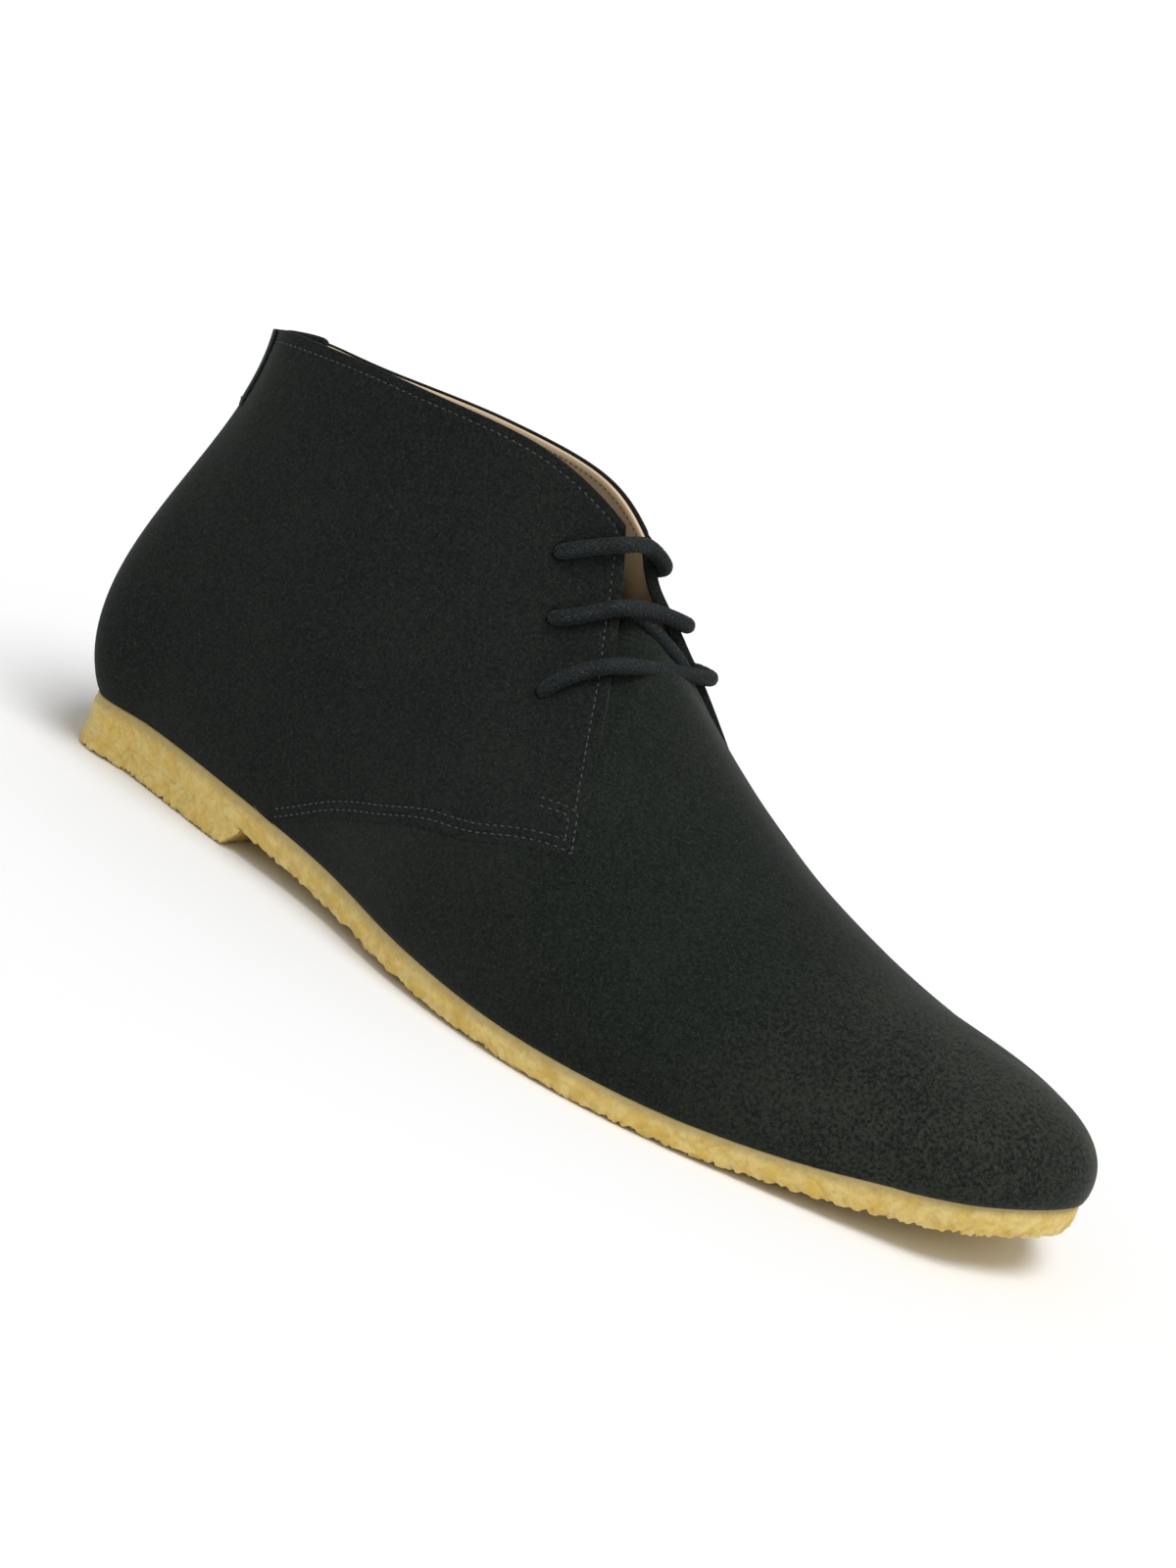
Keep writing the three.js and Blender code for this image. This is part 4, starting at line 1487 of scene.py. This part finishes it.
class StitchRow(NodeTree):
    """Geometry Nodes that lay a stitch at every step along a seam."""

    inputs = {
        "Pitch": "NodeSocketFloat",
        "Stitch length": "NodeSocketFloat",
        "Thread radius": "NodeSocketFloat",
        "Unevenness": "NodeSocketFloat",
        "Thread": "NodeSocketMaterial",
    }
    seed = 4

    def __init__(self) -> None:
        """Builds the tree."""
        self.tree = bpy.data.node_groups.new("stitch_row", "GeometryNodeTree")
        shapes = {"in_out": "INPUT", "socket_type": "NodeSocketGeometry"}
        self.tree.interface.new_socket("Seam", **shapes)
        for name, kind in self.inputs.items():
            self.tree.interface.new_socket(name, in_out="INPUT", socket_type=kind)
        self.tree.interface.new_socket("Stitches", in_out="OUTPUT", socket_type="NodeSocketGeometry")
        given = self.add("NodeGroupInput").outputs
        line = self.add("GeometryNodeMeshToCurve", Mesh=given["Seam"]).outputs[0]
        by_length = {"mode": "LENGTH"}
        steps = self.add("GeometryNodeResampleCurve", by_length, Curve=line, Length=given["Pitch"])
        tangent = self.add("GeometryNodeInputTangent").outputs[0]
        outward = self.add(
            "GeometryNodeInputNamedAttribute", {"data_type": "FLOAT_VECTOR"}, Name="outward"
        ).outputs["Attribute"]
        turn = self.add(
            "FunctionNodeAxesToRotation",
            {"primary_axis": "Z", "secondary_axis": "X"},
            Primary_Axis=outward,
            Secondary_Axis=tangent,
        ).outputs[0]
        uneven = Value(self, given["Unevenness"])
        tilt = self._random(-1, 1, self.seed) * uneven
        lean = self.add("ShaderNodeCombineXYZ", Z=tilt)
        turned = self.add(
            "FunctionNodeRotateRotation",
            {"rotation_space": "LOCAL"},
            Rotation=turn,
            Rotate_By=lean.outputs[0],
        )
        radius = Value(self, given["Thread radius"])
        stretch = 1 + self._random(-1, 1, self.seed + 1) * uneven
        half_length = Value(self, given["Stitch length"]) * stretch * 0.5
        size = self.add("ShaderNodeCombineXYZ", X=half_length, Y=radius, Z=radius)
        bead = self.add("GeometryNodeMeshUVSphere", Segments=8, Rings=5, Radius=1.0)
        laid = self.add(
            "GeometryNodeInstanceOnPoints",
            Points=steps.outputs[0],
            Instance=bead.outputs["Mesh"],
            Rotation=turned.outputs[0],
            Scale=size.outputs[0],
        )
        real = self.add("GeometryNodeRealizeInstances", Geometry=laid.outputs[0])
        smooth = self.add("GeometryNodeSetShadeSmooth", Geometry=real.outputs[0])
        dyed = self.add("GeometryNodeSetMaterial", Geometry=smooth.outputs[0], Material=given["Thread"])
        self.add("NodeGroupOutput", Stitches=dyed.outputs[0])

    def _random(self, low: float, high: float, seed: int) -> Value:
        """A random number for each stitch."""
        settings = {"data_type": "FLOAT"}
        node = self.add("FunctionNodeRandomValue", settings, Min_001=low, Max_001=high, Seed=seed)
        return Value(self, next(s for s in node.outputs if s.identifier == "Value_001"))

    def sew(
        self, name: str, seams: list[Seam], thread: bpy.types.Material, **sizes: float
    ) -> bpy.types.Object:
        """Sews lines of stitches as one piece.

        Args:
            name: The piece's name.
            seams: The lines, in the last's millimetres.
            thread: The thread's material.
            sizes: The tree's inputs, by name with _ for a space, in metres.

        Returns:
            The stitches as a plain mesh.
        """
        points = np.concatenate([seam.points for seam in seams])
        edges = []
        count = 0
        for seam in seams:
            edges += [(count + i, count + i + 1) for i in range(len(seam.points) - 1)]
            count += len(seam.points)
        mesh = bpy.data.meshes.new(name)
        mesh.from_pydata(((points + Draft.origin) * MM).tolist(), edges, [])
        outward = np.concatenate([seam.outward for seam in seams])
        mesh.attributes.new("outward", "FLOAT_VECTOR", "POINT").data.foreach_set("vector", outward.ravel())
        piece = placed(name, mesh)
        row = piece.modifiers.new("stitches", "NODES")
        row.node_group = self.tree
        values = {key.replace("_", " "): value for key, value in sizes.items()} | {"Thread": thread}
        for item in self.tree.interface.items_tree:
            if item.name in values:
                row[item.identifier] = values[item.name]
        return applied(piece)


# ---- heel tab --------------------------------------------------------------------------------------


@dataclass
class HeelTab:
    """A strip folded over the back of the top line and sewn down.

    Places round the back are given as across: the station, negative on the lateral side.
    """

    reach: float = 1.08
    lowest: float = 0.79
    highest: float = 0.985
    thickness: float = 0.6
    on_quarter: float = 1.62
    in_lining: float = 0.15
    stand: float = 1.3
    least_stand: float = 0.15
    lateral_stand: float = 0.25
    inside_drop: float = 0.3
    hug: float = 0.45
    hug_run: float = 0.012
    edge_width: float = 0.28
    side_inset: float = 0.14
    low_inset: float = 0.018
    thread_sunk: float = 0.06
    end_run: float = 0.12
    end_height: float = 0.45
    lean_run: float = 0.25
    edge_angle: float = 50
    columns: int = 64
    rows: int = 22
    fold_rows: int = 13
    inside_rows: int = 4

    @staticmethod
    def _round(across: Array, read: Callable[[Side, Array], Array]) -> Array:
        """What read gives for the stations of one side and then of the other."""
        parts = [across[(across < 0) == (side is Side.LATERAL)] for side in Side]
        return np.concatenate([read(side, np.abs(part)) for side, part in zip(Side, parts)])

    def _off(self, across: Array, up: float, offset: float) -> Array:
        """Points over the last, all at one share of its height and one distance."""
        return self._round(across, lambda side, k: LAST.off(side, k, up, np.full(k.shape, offset)))

    def _face(self, across: Array, depth: float) -> Array:
        """The strip's face, depth millimetres inside its outer one."""
        top = self._round(across, lambda side, k: LAST.surface(side, k, 1))
        below = self._round(across, lambda side, k: LAST.surface(side, k, 0.97))
        out = self._round(across, lambda side, k: LAST.normal(side, k, self.highest))
        rise = unit(top - below)
        outer = self.on_quarter + self.thickness - depth
        inner = self.in_lining - self.thickness + depth
        middle, half = (outer + inner) / 2, (outer - inner) / 2
        rows = []
        for up in np.linspace(self.lowest, self.highest, self.rows):
            hug = self.hug * np.exp(-(up - self.lowest) / self.hug_run) * (depth == 0)
            rows.append(self._off(across, up, outer - hug))
        ends = np.clip((self.reach - np.abs(across)) / self.end_run, 0, 1) ** 0.5
        medial = eased((across + self.lean_run) / (2 * self.lean_run))
        leaning = self.lateral_stand + (1 - self.lateral_stand) * medial
        lift = max(self.stand - depth * 0.6, self.least_stand)
        for angle in np.linspace(0, np.pi, self.fold_rows):
            height = lift * np.sin(angle) * (self.end_height + (1 - self.end_height) * ends) * leaning
            rows.append(top + out * (middle + half * np.cos(angle)) + rise * height[:, None])
        for drop in np.linspace(0, self.inside_drop, self.inside_rows + 1)[1:]:
            rows.append(top + out * inner - rise * drop)
        return np.stack(rows, 1)

    def leather(self) -> bpy.types.Object:
        """The strip."""
        across = np.linspace(-self.reach, self.reach, self.columns)
        draft = Draft()
        outer, inner = (draft.grid(self._face(across, depth)) for depth in (0, self.thickness))
        draft.skin(outer)
        draft.skin(inner, flipped=True)
        for row in (0, -1):
            draft.wall(outer[row], inner[row], flipped=row == 0)
            draft.wall(outer[:, row], inner[:, row], flipped=row == -1)
        piece = draft.build("heel_tab_leather", closed=True)
        edge = piece.modifiers.new("soft edges", "BEVEL")
        edge.width = self.edge_width * MM
        edge.segments = 2
        edge.limit_method = "ANGLE"
        edge.angle_limit = math.radians(self.edge_angle)
        return applied(piece)

    def seams(self) -> list[Seam]:
        """The row of stitches inside the strip's outer edges, down each end and along the bottom."""
        offset = self.on_quarter + self.thickness - self.thread_sunk
        last_k, low = self.reach - self.side_inset, self.lowest + self.low_inset
        down = np.linspace(0.99, low, 30)
        along = np.linspace(last_k, 0, 20)[1:]
        k = np.concatenate([np.full(down.shape, last_k), along])
        up = np.concatenate([down, np.full(along.shape, low)])
        return [
            Seam(LAST.off(side, k, up, np.full(k.shape, offset)), LAST.normal(side, k, up)) for side in Side
        ]


# ---- lace ------------------------------------------------------------------------------------------


@dataclass
class Lace:
    """One round braided lace through the six holes, with both ends hidden at the top pair.

    leg is a bar's way from its hole to the facing's edge: the share of the way, and the height.
    """

    radius: float = 2
    sides: int = 36
    step: float = 0.36
    strands: int = 6
    turn: float = 11
    relief: float = 0.34
    end_rounding: float = 1.2
    inside: float = -4.3
    deep_inside: float = -7.2
    smoothing: int = 13
    leg: tuple[tuple[float, float], ...] = ((0, 0.6), (0.1, 2.5), (0.36, 3.4), (0.7, 3.55), (1, 3.95))

    def _hole(self, side: Side, row: int, offset: float, forward: float = 0) -> Array:
        """A point on or near a hole's own axis, forward towards the facing as a share of the way there."""
        at, up, crossing = (LACE_HOLES[name][row] for name in ("at", "up", "crossing"))
        crossing = crossing - LACE_HOLES["slip"][row] * (side is Side.MEDIAL)
        k = at + (facing_at(side, np.array(crossing)) - at) * forward
        u = up + (crossing - up) * forward
        return LAST.off(side, np.array(k), np.array(u), np.array(offset))

    def _bar(self, first: Side, row: int) -> list[Array]:
        """A bar over both facings, from one side's hole to the other's."""
        legs = [
            [self._hole(side, row, height, forward) for forward, height in self.leg]
            for side in (first, Side(-first.value))
        ]
        middle = (legs[0][-1] + legs[1][-1]) / 2 + np.array([0, 0, LACE_HOLES["arch"][row]])
        return [*legs[0], middle, *reversed(legs[1])]

    def route(self) -> Array:
        """The points that the lace follows, from one hidden end to the other."""
        lateral, medial = Side.LATERAL, Side.MEDIAL
        points = [
            self._hole(lateral, 0, self.inside) + np.array([-3, 0, -1.5]),
            self._hole(lateral, 0, self.inside * 0.6),
            *self._bar(lateral, 0),
            self._hole(medial, 0, self.inside * 0.75),
            (self._hole(medial, 0, self.inside) + self._hole(medial, 1, self.inside)) / 2,
            self._hole(medial, 1, self.inside * 0.75),
            *self._bar(medial, 1),
            self._hole(lateral, 1, self.inside * 0.8),
            *np.stack([LACE_CROSSING[name] for name in "xyz"], -1),
            self._hole(medial, 2, self.inside * 0.8),
            *self._bar(medial, 2),
            self._hole(lateral, 2, self.inside * 0.8),
            (self._hole(lateral, 2, self.deep_inside) + self._hole(lateral, 1, self.deep_inside)) / 2,
            self._hole(lateral, 1, self.deep_inside - 1) + np.array([-3, 0, 0]),
            self._hole(lateral, 0, self.inside - 1.5) + np.array([2.5, 0, -2.5]),
        ]
        return np.array(points)

    def _path(self) -> Array:
        """Evenly spaced points along a smooth curve through the route."""
        knots = self.route()
        knots = np.concatenate([[2 * knots[0] - knots[1]], knots, [2 * knots[-1] - knots[-2]]])
        s = np.linspace(0, 1, 40, endpoint=False)[:, None]
        fine = [centripetal(*corners, s) for corners in zip(knots, knots[1:], knots[2:], knots[3:])]
        line = np.concatenate([*fine, knots[-2][None]])
        kernel = np.hanning(2 * self.smoothing + 1)
        kernel /= kernel.sum()
        padded = np.pad(line, ((self.smoothing, self.smoothing), (0, 0)), "edge")
        line = np.stack([np.convolve(padded[:, i], kernel, "valid") for i in range(3)], -1)
        length = np.concatenate([[0], np.cumsum(np.linalg.norm(np.diff(line, axis=0), axis=1))])
        even = np.arange(0, length[-1], self.step)
        log.info("lace: %.0f mm", length[-1])
        return np.stack([np.interp(even, length, line[:, i]) for i in range(3)], -1)

    def braid(self) -> bpy.types.Object:
        """The lace as a tube whose surface carries the braid's strands."""
        path = self._path()
        along = unit(np.gradient(path, axis=0))
        side = np.empty_like(path)
        level = np.cross(along[0], (0, 0, 1))
        for i, direction in enumerate(along):
            level = unit(level - direction * (level @ direction))
            side[i] = level
        across = np.cross(along, side)
        angle = np.linspace(0, 2 * np.pi, self.sides + 1)[None, :]
        advance = (np.arange(len(path)) * self.step * 2 * np.pi / self.turn)[:, None]
        first = self.strands * (angle + advance)
        second = self.strands * (angle - advance)
        over = 0.5 + 0.5 * np.clip(1.6 * np.sin(first / 2) * np.sin(second / 2), -1, 1)
        ribs = np.abs(np.cos(first / 2)) ** 0.7 * over, np.abs(np.cos(second / 2)) ** 0.7 * (1 - over)
        height = np.clip(np.maximum(*ribs) * 1.5, 0, 1)
        radius = self.radius - self.relief * (1 - height)
        count = np.arange(len(path))
        from_end = np.minimum(count, count[::-1])[:, None] * self.step
        radius = radius * np.sqrt(np.clip(from_end / self.end_rounding, 0.02, 1))
        ring = side[:, None] * np.cos(angle)[..., None] + across[:, None] * np.sin(angle)[..., None]
        draft = Draft()
        draft.skin(draft.grid(path[:, None] + ring * radius[..., None], strand=height))
        for end in (0, -1):
            tip = draft.grid(np.broadcast_to(path[end], (self.sides + 1, 3))[None], strand=0.5)
            rim = draft.grid(path[end][None] + ring[end] * radius[end][:, None], strand=0.5)
            draft.wall(tip[0], rim.ravel(), flipped=end == 0)
        return draft.build("lace_braid", closed=True)


# ---- camera, light and floor -----------------------------------------------------------------------


@dataclass(frozen=True)
class Studio:
    """A pale floor, soft light and the camera. A sun has its strength, its width and its direction."""

    eye: tuple[float, float, float] = (0.4562, -0.7917, 0.325)
    aim: tuple[float, float, float] = (-0.0018, -0.0051, 0.053)
    roll: float = 20.65
    lens: float = 91
    floor_reach: float = 30
    sky: float = 0.46
    suns: tuple[tuple[str, float, float, tuple[float, float, float]], ...] = (
        ("key", 2, 32, (-0.36, 0.1, -1)),
        ("fill", 0.42, 80, (-0.9, 0.25, -0.6)),
    )

    def camera(self) -> None:
        """The camera, rolled about its own view."""
        data = bpy.data.cameras.new("camera")
        data.lens = self.lens
        data.clip_end = 200
        camera = placed("camera", data)
        view = Vector(self.aim) - Vector(self.eye)
        level = view.to_track_quat("-Z", "Y").to_matrix().to_4x4()
        turn = Matrix.Rotation(math.radians(self.roll), 4, "Z")
        camera.matrix_world = Matrix.Translation(self.eye) @ level @ turn
        bpy.context.scene.camera = camera

    def floor(self) -> None:
        """The floor, on which the boot stands."""
        reach = self.floor_reach
        mesh = bpy.data.meshes.new("floor")
        corners = [(-reach, -reach, 0), (reach, -reach, 0), (reach, reach, 0), (-reach, reach, 0)]
        mesh.from_pydata(corners, [], [(0, 1, 2, 3)])
        g = Graph("floor_paper")
        colour = g.blend(g.noise(300, 2), (0.9, 0.9, 0.9), (0.92, 0.92, 0.92))
        mesh.materials.append(g.finish(Base_Color=colour, Roughness=0.95, Specular_IOR_Level=0.1))
        placed("floor", mesh)

    def lights(self) -> None:
        """An even sky, a broad key and a low fill."""
        world = bpy.data.worlds.new("studio")
        world.use_nodes = True
        background = world.node_tree.nodes["Background"].inputs
        background["Color"].default_value = (1, 1, 1, 1)
        background["Strength"].default_value = self.sky
        bpy.context.scene.world = world
        for name, strength, angle, aim in self.suns:
            data = bpy.data.lights.new(name, "SUN")
            data.energy = strength
            data.angle = math.radians(angle)
            sun = placed(name, data)
            sun.rotation_mode = "QUATERNION"
            sun.rotation_quaternion = Vector(aim).to_track_quat("-Z", "Y")

    def build(self) -> None:
        """Everything round the boot."""
        bpy.context.scene.view_settings.view_transform = "Standard"
        self.camera()
        self.floor()
        self.lights()


def frame_origin() -> Array:
    """Where the last's frame starts in the part's frame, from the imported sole's lowest corner."""
    k = np.linspace(0, STATIONS, 57)
    swell = np.full(k.shape, PACKED_SWELLING)
    rims = np.concatenate([LAST.on_edge(side, k, swell) for side in Side])
    low = np.array(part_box("outsole")[0]) / MM
    return np.array([low[0] - rims[:, 0].min(), low[1] - rims[:, 1].min(), 0])


def main() -> None:
    """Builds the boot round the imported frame."""
    logging.basicConfig(level=logging.INFO, format="%(message)s")
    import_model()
    Studio().build()
    Draft.origin = frame_origin()
    log.info("last starts at %s mm", np.round(Draft.origin, 2))

    crepe = Crepe().material()
    nubuck = Nubuck().material("vamp_nubuck")
    quarter_nubuck = Nubuck(
        dark=(0.0036, 0.0058, 0.0049), pale=(0.0138, 0.0165, 0.0138), bloom=0.07
    ).material("quarter_nubuck")
    tan = LiningLeather().material("tan_lining")
    braid = Yarn((0.0025, 0.004, 0.004), (0.04, 0.052, 0.054), 0.62, braided=True)
    grey_thread = Yarn((0.02, 0.026, 0.025), (0.08, 0.092, 0.09), 0.5).material("grey_thread")
    dark_thread = Yarn((0.022, 0.027, 0.026), (0.08, 0.09, 0.088), 0.45).material("dark_thread")
    brown_thread = Yarn((0.16, 0.1, 0.05), (0.3, 0.2, 0.11), 0.6).material("brown_thread")

    sole = CrepeSole()
    settle(sole.outsole(), crepe, "crepe", "outsole")
    settle(sole.heel(), crepe, "crepe", "heel")
    settle(Sock().build(), tan, "lining", "insole")

    vamp = Vamp()
    settle(vamp.leather(), nubuck, "vamp_nubuck", "upper", "tongue")
    settle(vamp.lining(), tan, "lining")

    quarters = [Quarter(side) for side in Side]
    for quarter in quarters:
        pins = quarter.cutters()
        leather = punched(quarter.leather(), pins)
        settle(leather, quarter_nubuck, "quarter_nubuck", f"quarter_{quarter.side.name.lower()}")
        settle(punched(quarter.lining(), pins), tan, "lining")
        bpy.data.objects.remove(pins)

    tab = HeelTab()
    settle(tab.leather(), quarter_nubuck, "quarter_nubuck", "heel_tab")

    edge_lines = [quarter.edge_seam() for quarter in quarters] + tab.seams()
    lower_lines = [quarter.lower_seam(inset) for quarter in quarters for inset in quarter.lower_rows]
    lining_lines = [quarter.lining_seam() for quarter in quarters]
    row = StitchRow()
    for name, lines, thread in (
        ("edge_stitches", edge_lines, grey_thread),
        ("lower_stitches", lower_lines, dark_thread),
        ("lining_stitches", lining_lines, brown_thread),
    ):
        settle(row.sew(name, lines, thread, **STITCH), thread, "lace")
    bars = [f"lace_bar_{place}" for place in ("top", "middle", "bottom")]
    settle(Lace().braid(), braid.material("braided_lace"), "lace", *bars, "lace_crossing")


if __name__ == "__main__":
    main()
